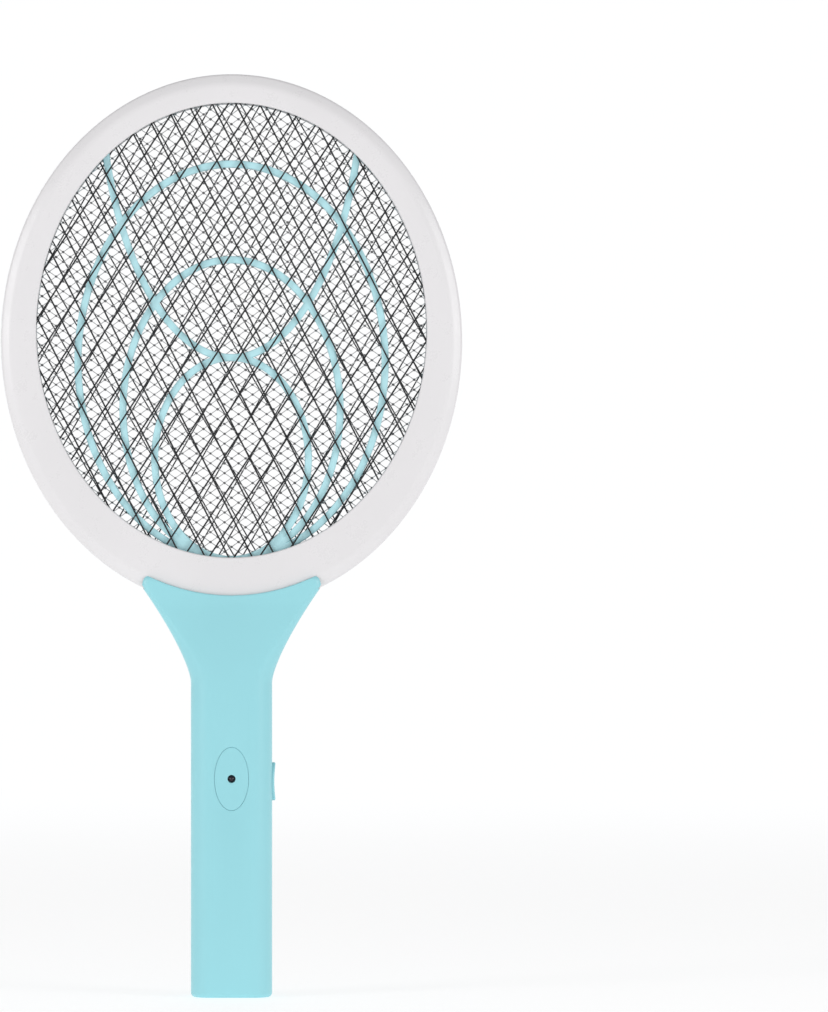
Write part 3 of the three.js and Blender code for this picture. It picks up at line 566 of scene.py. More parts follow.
FERRITE = dull_body("ferrite", (0.05, 0.05, 0.055), 0.6)
COPPER = bright_metal("copper", (0.62, 0.26, 0.1), 0.3, (6, 0.15, 0.15))
FILM_RED = dull_body("film_red", (0.42, 0.06, 0.03), 0.3)
CERAMIC_BLUE = dull_body("ceramic_blue", (0.05, 0.2, 0.45), 0.35)
RESISTOR = dull_body("resistor_body", (0.62, 0.46, 0.25), 0.4)
RED_SLEEVE = dull_body("red_sleeve", (0.45, 0.02, 0.02), 0.4)
BLACK_SLEEVE = dull_body("black_sleeve", (0.02, 0.02, 0.02), 0.4)

# ---- head


def ring_outline(width):
    """A ring half's section where the ring is that wide: a channel, as (inset, depth)."""
    return rounded_outline([
        (RING_WALL, SEAM, 0.2, 3),
        (0, SEAM, LIP_ROUND, 4),
        (0, HEAD_DEPTH - RING_BEVEL[1], 1.2, 8),
        (RING_BEVEL[0], HEAD_DEPTH, 1.5, 8),
        (width, HEAD_DEPTH, 0.8, 6),
        (width, HEAD_DEPTH - RING_FACE, 0.3, 3),
        (RING_WALL, HEAD_DEPTH - RING_FACE, 0.8, 4),
    ])


def ring_channel(side):
    """One ring half's channel, on the front (side -1) or the rear (side 1)."""
    rows = []
    for angle in turns(240):
        outer, inner = oval_at(HEAD, angle), oval_at(OPENING, angle)
        inwards = inner - outer
        width = inwards.length
        inwards.normalize()
        rows.append([outer + inwards * u + Vector((0, side * depth, 0))
                     for u, depth in ring_outline(width)])
    return skin(rows, closed=True)


def make_ring(half, side):
    node = f"{half}_ring"
    low, _ = box_mm(node)
    tongue_ys = sorted(side * depth for depth in TONGUE_DEPTHS)
    tongue_top = HEAD[2] - HEAD[1] + RING_WALL - 0.2
    ring = make_object(f"ring_{half}", ring_channel(side))
    tongue = block((-TONGUE_HALF_WIDTH, TONGUE_HALF_WIDTH), tongue_ys, (low.z, tongue_top), 0.5)
    join(ring, tongue)
    for which in ("upper_screw_left", "upper_screw_right"):
        screw = centre_mm(which)
        bore = bar_y(screw.x, screw.z, TONGUE_SCREW_BORE, -HEAD_DEPTH, HEAD_DEPTH)
        cut(ring, bore)
    # slots for the solder lugs of the outer and the centre grid
    for x, away, reach in LUG_SLOTS:
        xs = (x - LUG_SLOT_HALF_WIDTH, x + LUG_SLOT_HALF_WIDTH)
        ys = (side * away - reach, side * away + reach)
        cut(ring, block(xs, ys, LUG_SLOT_ZS, 0.2))
    finish_piece(ring, WHITE, "swatter", [node])


def grid_chords(lean_degrees, pitch, through, rng, wander):
    """One family of nearly parallel wires, as (start, end) points in X and Z within the rim."""
    to_rim = sum(GRID_RIM) / 2
    half = Vector((OPENING[0] + to_rim, OPENING[1] + to_rim))
    most = math.ceil((half.x + half.y) / pitch)
    for k in range(-most, most + 1):
        lean = math.radians(lean_degrees + rng.uniform(-1, 1) * wander * 0.8)
        along = Vector((math.sin(lean), math.cos(lean)))
        across = Vector((math.cos(lean), -math.sin(lean)))
        point = Vector(through) + across * (k * pitch + rng.uniform(-1, 1) * wander)
        start = Vector((point.x / half.x, (point.y - OPENING[2]) / half.y))
        step = Vector((along.x / half.x, along.y / half.y))
        reach = start.dot(step) ** 2 - step.length_squared * (start.length_squared - 1)
        if reach <= 0:
            continue
        middle = -start.dot(step) / step.length_squared
        swing = math.sqrt(reach) / step.length_squared
        yield point + along * (middle - swing), point + along * (middle + swing)


def wire_between(start, end, y, radius, sides):
    """One straight round wire."""
    path = []
    for i in range(9):
        at = start.lerp(end, i / 8)
        path.append(Vector((at.x, y, at.y)))
    return tube(path, radius, sides)


def grid_rim(y, half_depth):
    outline = rounded_box(GRID_RIM, (y - half_depth, y + half_depth), 0.25)
    return oval_sweep(OPENING, outline, turns(200))


def grid_lug(node, y, half_depth):
    low, _ = box_mm(node)
    x = 0.0 if node == "centre_grid" else LUG_X
    xs = (x - LUG_HALF_WIDTH, x + LUG_HALF_WIDTH)
    zs = (low.z, OPENING[2] - OPENING[1] - 1.5)
    return block(xs, (y - half_depth, y + half_depth), zs, 0.12)


def make_outer_grid(half, y, turn, through, wire, seed):
    """Two families of round wires, sunk into each other where they cross, on a rim."""
    rng = random.Random(seed)
    radius = wire / 2
    node = f"{half}_grid"
    parts = [grid_rim(y, 1.0), grid_lug(node, y, 0.45)]
    weld = radius - 0.03  # the two families sink into each other a little where they cross
    for lean, offset in ((OUTER_LEAN + turn, -weld), (-OUTER_LEAN + turn, weld)):
        for start, end in grid_chords(lean, OUTER_PITCH, through, rng, OUTER_WANDER):
            parts.append(wire_between(start, end, y + offset, radius, 12))
    grid = make_object(f"grid_{half}", *parts)
    finish_piece(grid, BLACK_WIRE, "swatter", [node])


def crossings(first, second):
    """Where the wires of two families cross."""
    for a, b in first:
        for c, d in second:
            u, v, w = b - a, d - c, c - a
            turn = u.x * v.y - u.y * v.x
            s, t = (w.x * v.y - w.y * v.x) / turn, (w.x * u.y - w.y * u.x) / turn
            if 0 < s < 1 and 0 < t < 1:
                yield a + u * s


def weld_bead(at, y, size):
    """A flattened bead of weld, a little longer across than up."""
    rows = []
    for level in (-0.95, -0.5, 0.5, 0.95):
        reach = math.sqrt(1 - level * level) * size
        depth = y + level * size * 0.6
        rows.append([Vector((at.x + 1.15 * reach * math.cos(a), depth, at.y + reach * math.sin(a)))
                     for a in turns(8)])
    return skin(rows)


def make_centre_grid():
    """The fine grid: thin bright wires with a dark weld at every crossing."""
    rng = random.Random(CENTRE_SEED)
    through = (0.0, OPENING[2])
    families = [list(grid_chords(lean, CENTRE_PITCH, through, rng, CENTRE_WANDER))
                for lean in (CENTRE_LEAN, -CENTRE_LEAN)]
    parts = [grid_rim(0.0, 0.5), grid_lug("centre_grid", 0.0, 0.2)]
    for family, offset in zip(families, (-0.16, 0.16)):
        parts.extend(wire_between(start, end, offset, CENTRE_WIRE / 2, 8) for start, end in family)
    wire_faces = sum(len(faces) for _, faces in parts)
    parts.extend(weld_bead(at, 0.0, rng.uniform(*WELD_SIZES)) for at in crossings(*families))
    grid = make_object("grid_centre", *parts)
    for face in grid.data.polygons[wire_faces:]:
        face.material_index = 1
    finish_piece(grid, (SILVER_WIRE, WELD), "swatter", ["centre_grid"])


def bowl_angles():
    """The stretch of the bowl arc that lies inside the rib frame's rim."""
    to_rim = sum(FRAME_RIM) / 2
    angle = -math.pi / 2
    while True:
        at = oval_at(RIB_BOWL, angle)
        reach = math.hypot(at.x / (OPENING[0] + to_rim), (at.z - OPENING[2]) / (OPENING[1] + to_rim))
        if reach > 1:
            break
        angle += 0.01
    return [lerp(-math.pi - angle, angle, i / 96) for i in range(97)]


def make_rib_frame(half, side):
    """Three nested ovals and a bowl arc, joined to a rim that the ring hides."""
    ys = [side * depth for depth in RIB_DEPTHS]
    rib = rounded_box((-RIB_WIDTH / 2, RIB_WIDTH / 2), ys, 0.55, 4)
    rim = rounded_box(FRAME_RIM, ys, 0.4)
    frame_piece = make_object(f"ribs_{half}", oval_sweep(OPENING, rim, turns(200)))
    ribs = [oval_sweep(oval, rib, turns(160)) for oval in RIB_OVALS]
    ribs.append(oval_sweep(RIB_BOWL, rib, bowl_angles(), closed=False))
    join(frame_piece, *ribs)
    finish_piece(frame_piece, AQUA_RIB, "swatter", [f"{half}_rib_frame"])


# ---- handle


def half_depth(z):
    """How deep a half shell is at a height: the grip's depth, easing over the neck to the horns'."""
    low, high = DEPTH_EASE_Z
    share = min(1.0, max(0.0, (high - z) / (high - low)))
    eased = (share * share / 0.2 if share < 0.1 else share - 0.05) / 0.95
    return lerp(HORN_HALF_DEPTH, GRIP_HALF_DEPTH, math.sin(eased * math.pi / 2))


def horn_edge_z(x):
    across = x / (HEAD[0] - HORN_OVERLAP)
    return HEAD[2] - (HEAD[1] - HORN_OVERLAP) * math.sqrt(1 - across * across)


HORN_TIP = Vector((HORN_TIP_X, horn_edge_z(HORN_TIP_X)))


def side_edge(t):
    """The neck's side edge a share t of the way up: the flare, then a quarter oval round the tip."""
    if t <= TIP_SHARE:
        u = t / TIP_SHARE
        start = Vector((GRIP_HALF_WIDTH, NECK_START_Z))
        first, second = FLARE_PULLS
        v = 1 - u
        return start * v**3 + first * (3 * v * v * u) + second * (3 * v * u * u) + HORN_END * u**3
    turn = (t - TIP_SHARE) / (1 - TIP_SHARE) * math.pi / 2
    return Vector((
        lerp(HORN_TIP.x, HORN_END.x, math.cos(turn)),
        lerp(HORN_END.y, HORN_TIP.y, math.sin(turn)),
    ))


def half_row(place, half_width, corner, inset, side, lip, lip_round):
    """One row of a half shell's skin, from the +X lip over the face to the -X lip and back along the
    parting plane. place(x) gives the point in the X-Z plane for a distance x from the middle."""
    radius = max(corner - inset, 1.0)
    width = half_width - inset
    front = []
    for rise, drop in roll(lip_round, 3 if lip_round else 1):
        front.append((width - drop, lip + rise, False))
    for rise, drop in roll(radius, 10):
        front.append((width - rise, drop, True))
    flats = 12
    for i in range(1, flats):
        front.append(((width - radius) * (1 - 2 * i / flats), 0.0, True))
    front.extend((-x, y, shy) for x, y, shy in reversed(front[:-(flats - 1)]))
    row = []
    for x, y, shy in front:
        at = place(x)
        depth = half_depth(at.y) - inset - y if shy else y
        row.append(Vector((at.x, side * depth, at.y)))
    for x, _, _ in reversed(front[1:-1]):
        at = place(x)
        row.append(Vector((at.x, side * lip, at.y)))
    return row


def grip_row(z, inset, side, lip=SEAM, lip_round=LIP_ROUND):
    return half_row(lambda x: Vector((x, z)), GRIP_HALF_WIDTH, GRIP_CORNER, inset, side, lip, lip_round)


def neck_row(t, inset, side, lip=SEAM, lip_round=LIP_ROUND):
    """A row on a level that bends from flat, at the grip, to the horns' upper edge."""
    edge = side_edge(t)
    middle_z = lerp(NECK_START_Z, horn_edge_z(0), t)

    def place(x):
        along = min(1.0, abs(x) / edge.x) * HORN_TIP.x
        rise = (horn_edge_z(along) - horn_edge_z(0)) / (HORN_TIP.y - horn_edge_z(0))
        return Vector((x, lerp(middle_z, edge.y, rise)))

    corner = lerp(GRIP_CORNER, HORN_CORNER, min(1.0, t * CORNER_HASTE))
    return half_row(place, edge.x, corner, inset, side, lip, lip_round)


def foot_rows(side, lift=0.0):
    return [grip_row(lift + rise, drop, side) for rise, drop in roll(FOOT_ROUND, 6)]


def neck_rows(side):
    """The neck up to the horns, whose upper edge is rounded over."""
    height, inset = HORN_LIP
    lip = height / (horn_edge_z(0) - NECK_START_Z)
    rows = [neck_row(i / NECK_STEPS * (1 - lip), 0, side) for i in range(1, NECK_STEPS + 1)]
    for turn in quarter_turns(4)[1:]:
        rows.append(neck_row(1 - lip * (1 - math.sin(turn)), inset * (1 - math.cos(turn)), side))
    return rows


def hollow(side, low_z, high_z=None):
    """The space inside a half shell, from low_z to high_z or to just under the top of the neck."""
    across = {"lip": -1.0, "lip_round": 0.0}
    rows = [grip_row(low_z, SHELL_WALL, side, **across)]
    if high_z is not None:
        return skin([*rows, grip_row(high_z, SHELL_WALL, side, **across)], strips=True)
    rows.append(grip_row(NECK_START_Z, SHELL_WALL, side, **across))
    rows.extend(neck_row(i / NECK_STEPS, SHELL_WALL, side, **across) for i in range(1, NECK_STEPS - 1))
    return skin(rows, strips=True)


def ring_seat():
    grown = (HEAD[0] + CLEARANCE, HEAD[1] + CLEARANCE, HEAD[2])
    half = HEAD_DEPTH + CLEARANCE
    rows = [[oval_at(grown, angle) + Vector((0, y, 0)) for angle in turns(320)] for y in (-half, half)]
    return skin(rows)


def flared_hole(half_a, half_b, levels, place, flare=0.3, segments=72):
    """A cutter for an oval hole: straight from levels[0] to levels[1], then opening out to levels[2]."""
    rows = []
    start, surface, end = levels
    steps = [(start, 0.0), (surface, 0.0)]
    for turn in quarter_turns(4)[1:]:
        steps.append((lerp(surface, end, math.sin(turn)), flare * (1 - math.cos(turn))))
    steps.append((end + (end - surface) * 2, flare * 2.2))
    for level, grown in steps:
        rows.append([place((half_a + grown) * math.cos(a), (half_b + grown) * math.sin(a), level)
                     for a in turns(segments)])
    return skin(rows)


def button_hole():
    return flared_hole(*BUTTON_HOLE, (11.0, GRIP_HALF_WIDTH - 0.5, GRIP_HALF_WIDTH),
                       lambda a, b, level: Vector((level, a, BUTTON_Z + b)), 0.35)


def screw_places():
    """X, Z and seat of each screw, as the frame has them."""
    for level, seat in SCREW_SEAT_Y.items():
        right = centre_mm(f"{level}_screw_right")
        for x in (-abs(right.x), abs(right.x)):
            yield x, right.z, seat


def post_foot(z):
    """Where a screw post ends, away from the parting plane, clear of the other post or the tongue."""
    return (SEAM if z < TONGUE_START_Z else TONGUE_DEPTHS[1]) + CLEARANCE


def cut_screw_recess(shell, x, z, seat):
    """A post in the rear shell, with a recess for the screw's head and a hole for its shaft."""
    face = half_depth(z)
    foot = post_foot(z)
    join(shell, bar_y(x, z, REAR_POST, foot, face - REAR_POST_ROOT))
    recess = flared_hole(SCREW_HEAD + CLEARANCE, SCREW_HEAD + CLEARANCE, (seat, face - 0.35, face),
                         lambda a, b, level: Vector((x + a, level, z + b)), 0.35, 48)
    cut(shell, recess, bar_y(x, z, SCREW_BORE, foot - 1, seat + 1))


def pilot_post(shell, x, z):
    """A hollow post in the front shell that a screw bites into."""
    top = -post_foot(z)
    floor = -half_depth(z) + FRONT_POST_ROOT
    join(shell, bar_y(x, z, FRONT_POST, floor, top))
    cut(shell, bar_y(x, z, SCREW_BORE, floor + 0.6, top + 1))


def mirrored_blocks(xs, ys, zs, edge=0.2):
    low, high = xs
    return block(xs, ys, zs, edge), block((-high, -low), ys, zs, edge)


def end_tongue(slack):
    half, front, back = END_TONGUE
    xs = (-half - slack, half + slack)
    return block(xs, (front, back + slack), (-slack, SHELL_WALL + slack), 0.25)


def plate_place(a, b, level):
    """The point (a, b) from the indicator's middle, level in front of the parting plane."""
    return Vector((a, -level, PLATE.z + b))


def make_front_shell():
    front = -1
    rows = [*foot_rows(front), grip_row(NECK_START_Z, 0, front), *neck_rows(front)]
    shell = make_object("shell_front", skin(rows, strips=True))
    cut(shell, hollow(front, SHELL_WALL), ring_seat())
    join(shell, end_tongue(0))
    for x, z, _ in screw_places():
        pilot_post(shell, x, z)
    # cross walls of the cell bay, and posts that carry the board
    bay_xs, bay_ys = (-BAY_HALF_WIDTH, BAY_HALF_WIDTH), (-GRIP_HALF_DEPTH + 1.5, 4)
    for z in BAY_WALL_ZS:
        join(shell, block(bay_xs, bay_ys, (z, z + BAY_WALL), 0.3))
    root = -GRIP_HALF_DEPTH + FRONT_POST_ROOT
    board_front = box_mm("circuit_board")[0].y
    for x, z in BOARD_POSTS:
        join(shell, bar_y(x, z, BOARD_POST, root, board_front - CLEARANCE, 24))
    # seat and hub hole of the indicator's plate
    levels = (GRIP_HALF_DEPTH - PLATE_SEAT, GRIP_HALF_DEPTH - 0.15, GRIP_HALF_DEPTH)
    halves = (PLATE_HIGH.x + PLATE_LINE, PLATE_HALF_HEIGHT + PLATE_LINE)
    seat = flared_hole(*halves, levels, plate_place, 0.15, 96)
    cut(shell, seat, bar_y(0, PLATE.z, 3.7, -GRIP_HALF_DEPTH - 1, -9))
    # grooves that the door's rails run in, out through the end wall
    cut(shell, button_hole())
    for xs, ys in RAIL_GROOVES:
        cut(shell, *mirrored_blocks(xs, ys, RAIL_GROOVE_ZS, 0.1))
    finish_piece(shell, AQUA, "swatter", ["front_shell"])


def make_rear_shell():
    rear = 1
    low = DOOR_TOP_Z + SEAM
    rows = [grip_row(low + rise, drop, rear) for rise, drop in roll(LIP_ROUND, 3)]
    rows += [grip_row(NECK_START_Z - drop, 0, rear) for drop in REAR_ROW_DROPS]
    rows += neck_rows(rear)
    shell = make_object("shell_rear", skin(rows, strips=True))
    cut(shell, hollow(rear, low - 3), ring_seat())
    for place in screw_places():
        cut_screw_recess(shell, *place)
    cut(shell, button_hole())
    finish_piece(shell, AQUA, "swatter", ["rear_shell"])


def make_battery_door():
    """The grip's lower back, with rails, a latch tab and grooves for the thumb."""
    rear = 1
    top = DOOR_TOP_Z - SEAM
    rows = foot_rows(rear, CLEARANCE)
    rows += [grip_row(z, 0, rear) for z in DOOR_ROW_ZS]
    rows += [grip_row(top - drop, rise, rear) for rise, drop in roll(LIP_ROUND, 3)]
    door = make_object("door_battery", skin(rows, strips=True))
    cut(door, hollow(rear, SHELL_WALL, DOOR_TOP_Z + 3), end_tongue(CLEARANCE))
    for xs, ys in DOOR_RAILS:
        join(door, *mirrored_blocks(xs, ys, DOOR_RAIL_ZS))
    for ys, zs, edge in LATCH_TAB:
        join(door, block((-LATCH_HALF_WIDTH, LATCH_HALF_WIDTH), ys, zs, edge))
    for z, half_length in THUMB_GROOVES:
        cut(door, thumb_groove(z, half_length))
    finish_piece(door, AQUA, "door", ["battery_door"])


def thumb_groove(z, half_length):
    """A round-bottomed groove across the door's face, tapering out at its ends."""
    rows = []
    for i in range(13):
        share = i / 6 - 1
        radius = 0.62 * math.sqrt(max(0.02, 1 - share**4))
        rows.append([Vector((share * half_length, GRIP_HALF_DEPTH + 0.12 + radius * math.cos(a),
                             z + radius * math.sin(a))) for a in turns(20)])
    return skin(rows)


# ---- push-button, indicator and screws


def make_button():
    """An oval cap with a rounded edge and a finger dish, on a flange that keeps it in the handle."""
    face_x, flange_x = BUTTON_HIGH.x, BUTTON_LOW.x
    cap = (BUTTON_HOLE[0] - 0.45, BUTTON_HOLE[1] - 0.45)
    flange = ((BUTTON_HIGH.y - BUTTON_LOW.y) / 2, (BUTTON_HIGH.z - BUTTON_LOW.z) / 2)

    def row(half, inset, x):
        made = []
        for a in turns(96):
            y, z = (half[0] - inset) * math.cos(a), (half[1] - inset) * math.sin(a)
            made.append(Vector((x(z) if callable(x) else x, y, BUTTON_Z + z)))
        return made

    def dish(z):
        return min(face_x, face_x - 0.6 + z * z / 120)

    rows = [row(flange, 0.2, flange_x), row(flange, 0, flange_x + 0.2), row(flange, 0, flange_x + 1.0),
            row(flange, 0.2, flange_x + 1.2), row(cap, 0, flange_x + 1.2)]
    edge = 0.75
    for rise, drop in roll(edge, 6):
        rows.append(row(cap, rise, lambda z, drop=drop: dish(z) - drop))
    inner = (cap[0] - edge, cap[1] - edge)
    for share in (0.8, 0.6, 0.4, 0.2, 0.05):
        rows.append(row((inner[0] * share, inner[1] * share), 0, dish))
    button = make_object("button_cap", skin(rows))
    finish_piece(button, AQUA, "button", ["power_button"])


def make_indicator_plate():
    """A flat oval plate with a rounded edge, a countersunk hole for the lamp, and a hub behind it."""
    half = (PLATE_HIGH.x, PLATE_HALF_HEIGHT)
    face = PLATE_LOW.y
    back = -GRIP_HALF_DEPTH + PLATE_SEAT - CLEARANCE

    def row(inset, y):
        return [Vector(((half[0] - inset) * math.cos(a), y, PLATE.z + (half[1] - inset) * math.sin(a)))
                for a in turns(96)]

    rows = [row(0.3, back), row(0, back - 0.25)]
    rows += [row(rise, face + drop) for rise, drop in roll(0.2, 5)]
    rows += [row(inset, face) for inset in (1.2, 3.0, 5.0, 7.0)]
    plate = make_object("plate_indicator", skin(rows))
    join(plate, bar_y(0, PLATE.z, 3.4, face + 0.5, -8.6, 48))
    bore = flared_hole(LED_HOLE, LED_HOLE, (7.0, -face - 0.3, -face), plate_place, 0.3, 48)
    cut(plate, bore)
    finish_piece(plate, AQUA, "swatter", ["indicator_plate"])


def make_led():
    """The lamp: a domed lens on a flanged base."""
    low, high = box_mm("indicator_led")
    base, tip = high.y, low.y
    radius = 1.5
    dome = tip + radius
    profile = [(0.01, base), (1.9, base), (1.9, base - 0.8), (radius, base - 0.8), (radius, dome)]
    profile += [(radius * math.cos(turn), dome - radius * math.sin(turn))
                for turn in quarter_turns(8)[1:-1]]
    profile.append((0.01, tip))
    lens = make_object("led_lens", lathe(profile, 48, along_y(0, PLATE.z)))
    finish_piece(lens, LENS, "swatter", ["indicator_led"])


def make_screw(node):
    """A pan-head screw with a cross recess and a shaft ringed like a thread."""
    low, high = box_mm(node)
    middle = centre_mm(node)
    head_foot = high.y - 1.6
    profile = [(0.01, low.y), (0.5, low.y), (1.1, low.y + 1.6)]
    threads = int((head_foot - low.y - 3.0) / 0.9)
    for i in range(threads):
        y = low.y + 1.8 + i * 0.9
        profile += [(1.12, y), (1.45, y + 0.45)]
    profile += [(1.12, head_foot - 0.9), (1.3, head_foot), (SCREW_HEAD - 0.1, head_foot)]
    profile += [(SCREW_HEAD - rise, high.y - drop) for rise, drop in roll(0.7, 5)]
    profile.append((0.01, high.y))
    screw = make_object(f"{node}_fine", lathe(profile, 40, along_y(middle.x, middle.z)))
    for half_x, half_z in ((1.55, 0.33), (0.33, 1.55)):
        wide = [(-half_x, -half_z), (half_x, -half_z), (half_x, half_z), (-half_x, half_z)]
        rows = [[Vector((middle.x + u * share, y, middle.z + v * share)) for u, v in wide]
                for share, y in ((0.35, high.y - 1.2), (1.0, high.y - 0.1), (1.06, high.y + 0.5))]
        cut(screw, skin(rows))
    finish_piece(screw, SCREW_STEEL, "swatter", [node], 30)


# ---- cells and contacts

CELL_BAND_LENGTH = 9
SPRING_WIRE = 0.4  # the wire's radius
SPRING_TURNS = 4
SPRING_RADII = (4.3, 2.5)  # at its plate and at the cell
SPRING_CLOSED = 0.2  # share of the wire that lies flat at the plate


def make_cell(hand, upright):
    """A round cell: sleeve rolled over at both ends, steel ends and a positive nub."""
    node = f"cell_{hand}"
    low, high = box_mm(node)
    middle = centre_mm(node)
    length = high.z - low.z
    radius = (high.x - low.x) / 2

    def place(across, other, distance):
        z = low.z + distance if upright else high.z - distance
        return Vector((middle.x + across, middle.y + other, z))

    body = length - 1.4
    sleeve = [(radius - 0.9, 0.12), (radius - 0.6, 0.0)]
    sleeve += [(radius - drop, rise) for rise, drop in roll(0.5, 4)]
    sleeve += [(radius, body - CELL_BAND_LENGTH), (radius, body - 0.6)]
    sleeve += [(radius - rise, body - drop) for rise, drop in roll(0.6, 4)]
    sleeve += [(radius - 1.0, body - 0.1), (radius - 1.2, body - 0.5), (3.2, body - 0.5)]
    nub = [(2.75, body - 0.4)]
    nub += [(2.75 - rise, length - drop) for rise, drop in roll(0.35, 3)]
    profile = [(0.01, 0.12), *sleeve, *nub, (0.01, length)]
    cell = make_object(f"{node}_fine", lathe(profile, 64, place))
    for face in cell.data.polygons:
        at = face.center / MM
        distance = at.z - low.z if upright else high.z - at.z
        out = math.hypot(at.x - middle.x, at.y - middle.y)
        if out < radius - 1.0:
            face.material_index = 1
        elif distance > body - CELL_BAND_LENGTH:
            face.material_index = 2
    finish_piece(cell, (CELL, SPRING_STEEL, CELL_BAND), "swatter", [node])


def make_spring(hand, plate_below):
    """A coned contact spring, wide and closed at its plate."""
    node = f"contact_spring_{hand}"
    low, high = box_mm(node)
    middle = centre_mm(node)
    height = high.z - low.z - 2 * SPRING_WIRE
    path = []
    steps = 150
    for i in range(steps + 1):
        t = i / steps
        lift = max(0.0, (t - SPRING_CLOSED) / (1 - SPRING_CLOSED))
        angle = t * SPRING_TURNS * 2 * math.pi
        radius = lerp(*SPRING_RADII, lift)
        along = SPRING_WIRE + height * lift
        z = low.z + along if plate_below else high.z - along
        x, y = middle.x + radius * math.cos(angle), middle.y + radius * math.sin(angle)
        path.append(Vector((x, y, z)))
    spring = make_object(f"spring_{hand}", tube(path, SPRING_WIRE, 12))
    finish_piece(spring, SPRING_STEEL, "swatter", [node], 60)


CARRIED_OVER = {
    BLACK_RESIN: ("switch_housing", "rectifier_diode_1", "rectifier_diode_2", "rectifier_diode_3",
                  "oscillator_transistor"),
    WHITE: ("switch_plunger",),
    BOARD: ("circuit_board",),
    FERRITE: ("transformer_core",),
    COPPER: ("transformer_coil",),
    FILM_RED: ("storage_capacitor",),
    CERAMIC_BLUE: ("disc_capacitor",),
    RESISTOR: ("bleed_resistor", "led_resistor"),
    SPRING_STEEL: ("led_leg_left", "led_leg_right", "link_contact", "positive_contact",
                   "negative_contact"),
    RED_SLEEVE: ("battery_lead_red", "centre_grid_lead"),
    BLACK_SLEEVE: ("battery_lead_black", "front_grid_lead", "rear_grid_lead"),
}


def paint_carried_over():
    """Gives the CAD nodes that stay their materials."""
    for material, nodes in CARRIED_OVER.items():
        for node in nodes:
            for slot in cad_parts[node].material_slots:
                slot.material = material


# ---- stage, light and camera

CAMERA_DISTANCE = 3.0
VIEW_HEIGHT = 0.4613  # what the picture's long side spans at the object
OBJECT_SHIFT = (0.1803, 0.0292)  # puts it left of the middle and a little low
# the room's brightness against its direction's Y
ROOM_BY_DEPTH = ((-1.0, 0.72), (-0.5, 0.64), (0.0, 0.6), (0.6, 0.61), (0.93, 1.0))
ROOM_OVERHEAD = 0.36
OVERHEAD_FROM, OVERHEAD_FULL = 0.3, 0.65  # the direction's Z
FLOOR_REACHES = (0.3, 1, 3, 7, 14.0)
FLOOR_DROP = 0.1 * MM  # under the object's foot
FLOOR_GREY = 0.5
FLOOR_GLOW = 0.64
FLOOR_FADE = (0.6, 2.4)  # distances over which it takes the room's colour
SOFTBOXES = (
    ("softbox_left", (-1.5, -1.1, 0.6), (0, 0, 0.22), (0.6, 0.9), 9.0),
    ("softbox_right", (1.5, -1.1, 0.6), (0, 0, 0.22), (0.6, 0.9), 8.6),
    ("softbox_front", (-0.3, -2.4, 1.3), (0, 0, 0.2), (1.2, 0.8), 1.0),
)


def as_share(value):
    """A direction's component as a place on a colour ramp."""
    return (value + 1) / 2


def grey(value):
    return (value, value * 1.004, value * 1.01, 1)


def room_colour(tree, direction):
    """The room's colour in a direction: white behind the object, greyer elsewhere and overhead."""
    nodes, links = tree.nodes, tree.links
    split = nodes.new("ShaderNodeSeparateXYZ")
    links.new(direction, split.inputs["Vector"])
    depth_share, height_share = (map_range(tree, split.outputs[axis], -1.0, 1.0) for axis in "YZ")
    ramp = nodes.new("ShaderNodeValToRGB")
    ramp.color_ramp.interpolation = "EASE"
    stops = ramp.color_ramp.elements
    while len(stops) < len(ROOM_BY_DEPTH):
        stops.new(0.5)
    for stop, (depth, brightness) in zip(stops, ROOM_BY_DEPTH):
        stop.position = as_share(depth)
        stop.color = grey(brightness)
    links.new(depth_share, ramp.inputs["Fac"])
    start, stop = as_share(OVERHEAD_FROM), as_share(OVERHEAD_FULL)
    overhead = map_range(tree, height_share, start, stop, kind="SMOOTHSTEP")
    return mixed(tree, overhead, ramp.outputs["Color"], grey(ROOM_OVERHEAD))


def add_room():
    world = bpy.data.worlds.new("pale_room")
    bpy.context.scene.world = world
    world.use_nodes = True
    tree = world.node_tree
    place = tree.nodes.new("ShaderNodeTexCoord")
    colour = room_colour(tree, place.outputs["Generated"])
    tree.links.new(colour, tree.nodes["Background"].inputs["Color"])


def floor_material():
    """Pale and faintly glowing near the object, fading into the room's colour further out."""
    material = bpy.data.materials.new("pale_floor")
    material.use_nodes = True
    tree = material.node_tree
    nodes, links = tree.nodes, tree.links
    shader = nodes["Principled BSDF"]
    shader.inputs["Base Color"].default_value = grey(FLOOR_GREY)
    shader.inputs["Roughness"].default_value = 0.7
    shader.inputs["Emission Color"].default_value = (1, 1, 1, 1)
    shader.inputs["Emission Strength"].default_value = FLOOR_GLOW
    place = nodes.new("ShaderNodeTexCoord").outputs["Object"]
    away = nodes.new("ShaderNodeVectorMath")
    away.operation = "LENGTH"
    links.new(place, away.inputs[0])
    direction = nodes.new("ShaderNodeVectorMath")
    direction.operation = "NORMALIZE"
    links.new(place, direction.inputs[0])
    glow = nodes.new("ShaderNodeEmission")
    links.new(room_colour(tree, direction.outputs["Vector"]), glow.inputs["Color"])
    fade = map_range(tree, away.outputs["Value"], *FLOOR_FADE, kind="SMOOTHSTEP")
    mix = nodes.new("ShaderNodeMixShader")
    links.new(fade, mix.inputs["Fac"])
    links.new(shader.outputs["BSDF"], mix.inputs[1])
    links.new(glow.outputs["Emission"], mix.inputs[2])
    links.new(mix.outputs["Shader"], nodes["Material Output"].inputs["Surface"])
    return material


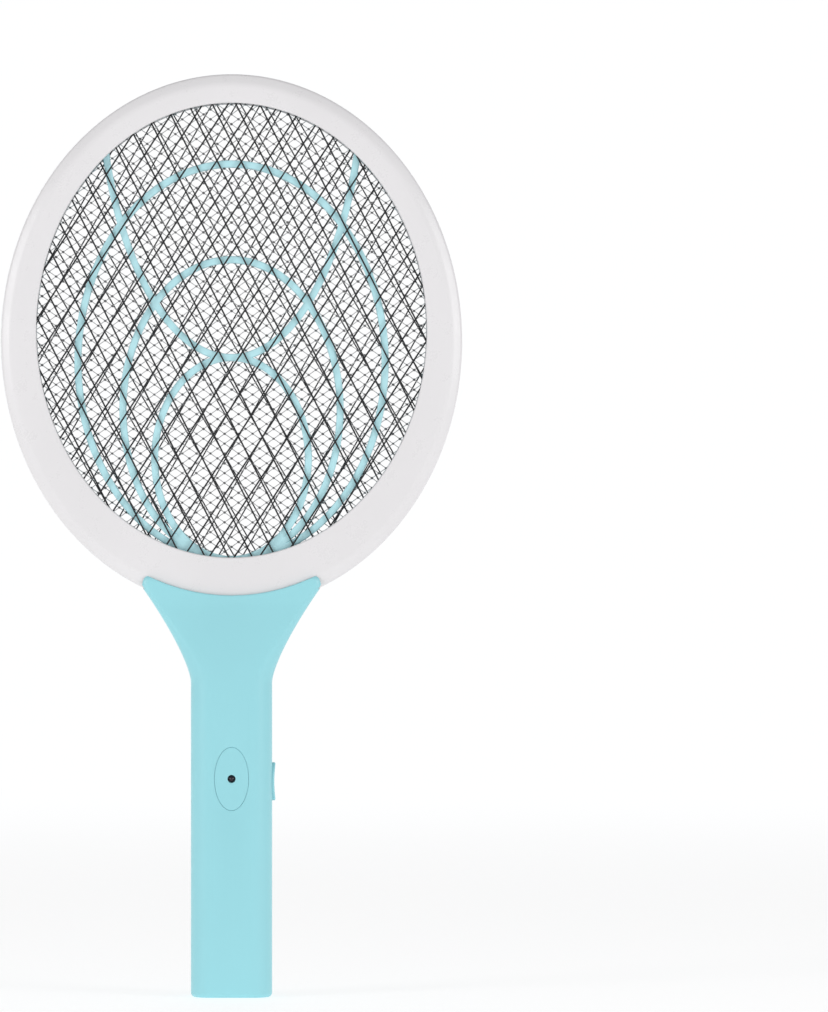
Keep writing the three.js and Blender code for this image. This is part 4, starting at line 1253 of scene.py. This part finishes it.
def add_floor():
    """A wide disc of rings of quads around a middle fan."""
    count = 64
    points = [(0, 0, 0)]
    for reach in FLOOR_REACHES:
        points += [(reach * math.cos(a), reach * math.sin(a), 0) for a in turns(count)]
    faces = [(0, 1 + i, 1 + (i + 1) % count) for i in range(count)]
    for ring in range(len(FLOOR_REACHES) - 1):
        near, far = 1 + ring * count, 1 + (ring + 1) * count
        for i in range(count):
            j = (i + 1) % count
            faces.append((near + i, far + i, far + j, near + j))
    mesh = bpy.data.meshes.new("floor")
    mesh.from_pydata(points, [], faces)
    mesh.materials.append(floor_material())
    floor = add_object("floor", mesh)
    floor.location.z = -FLOOR_DROP


def add_softbox(name, place, target, size, power):
    light = bpy.data.lights.new(name, "AREA")
    light.shape = "RECTANGLE"
    light.size, light.size_y = size
    light.energy = power
    lamp = add_object(name, light)
    lamp.location = place
    lamp.rotation_euler = (Vector(target) - Vector(place)).to_track_quat("-Z", "Y").to_euler()


def add_camera():
    data = bpy.data.cameras.new("camera")
    camera = add_object("camera", data)
    camera.location = (0, -CAMERA_DISTANCE, (cad_bounds[0].z + cad_bounds[1].z) / 2)
    camera.rotation_euler = (math.pi / 2, 0, 0)
    data.lens = data.sensor_width * CAMERA_DISTANCE / VIEW_HEIGHT
    data.shift_x, data.shift_y = OBJECT_SHIFT
    data.clip_end = 60
    bpy.context.scene.camera = camera


# ---- the whole object

add_camera()
add_room()
add_floor()
for softbox in SOFTBOXES:
    add_softbox(*softbox)
bpy.context.scene.view_settings.view_transform = "Standard"

make_ring("front", -1)
make_ring("rear", 1)
for grid in OUTER_GRIDS:
    make_outer_grid(*grid)
make_centre_grid()
make_rib_frame("front", -1)
make_rib_frame("rear", 1)
make_front_shell()
make_rear_shell()
make_battery_door()
make_button()
make_indicator_plate()
make_led()
for level in ("upper", "lower"):
    for hand in ("left", "right"):
        make_screw(f"{level}_screw_{hand}")
make_cell("left", True)
make_cell("right", False)
make_spring("left", True)
make_spring("right", False)
paint_carried_over()
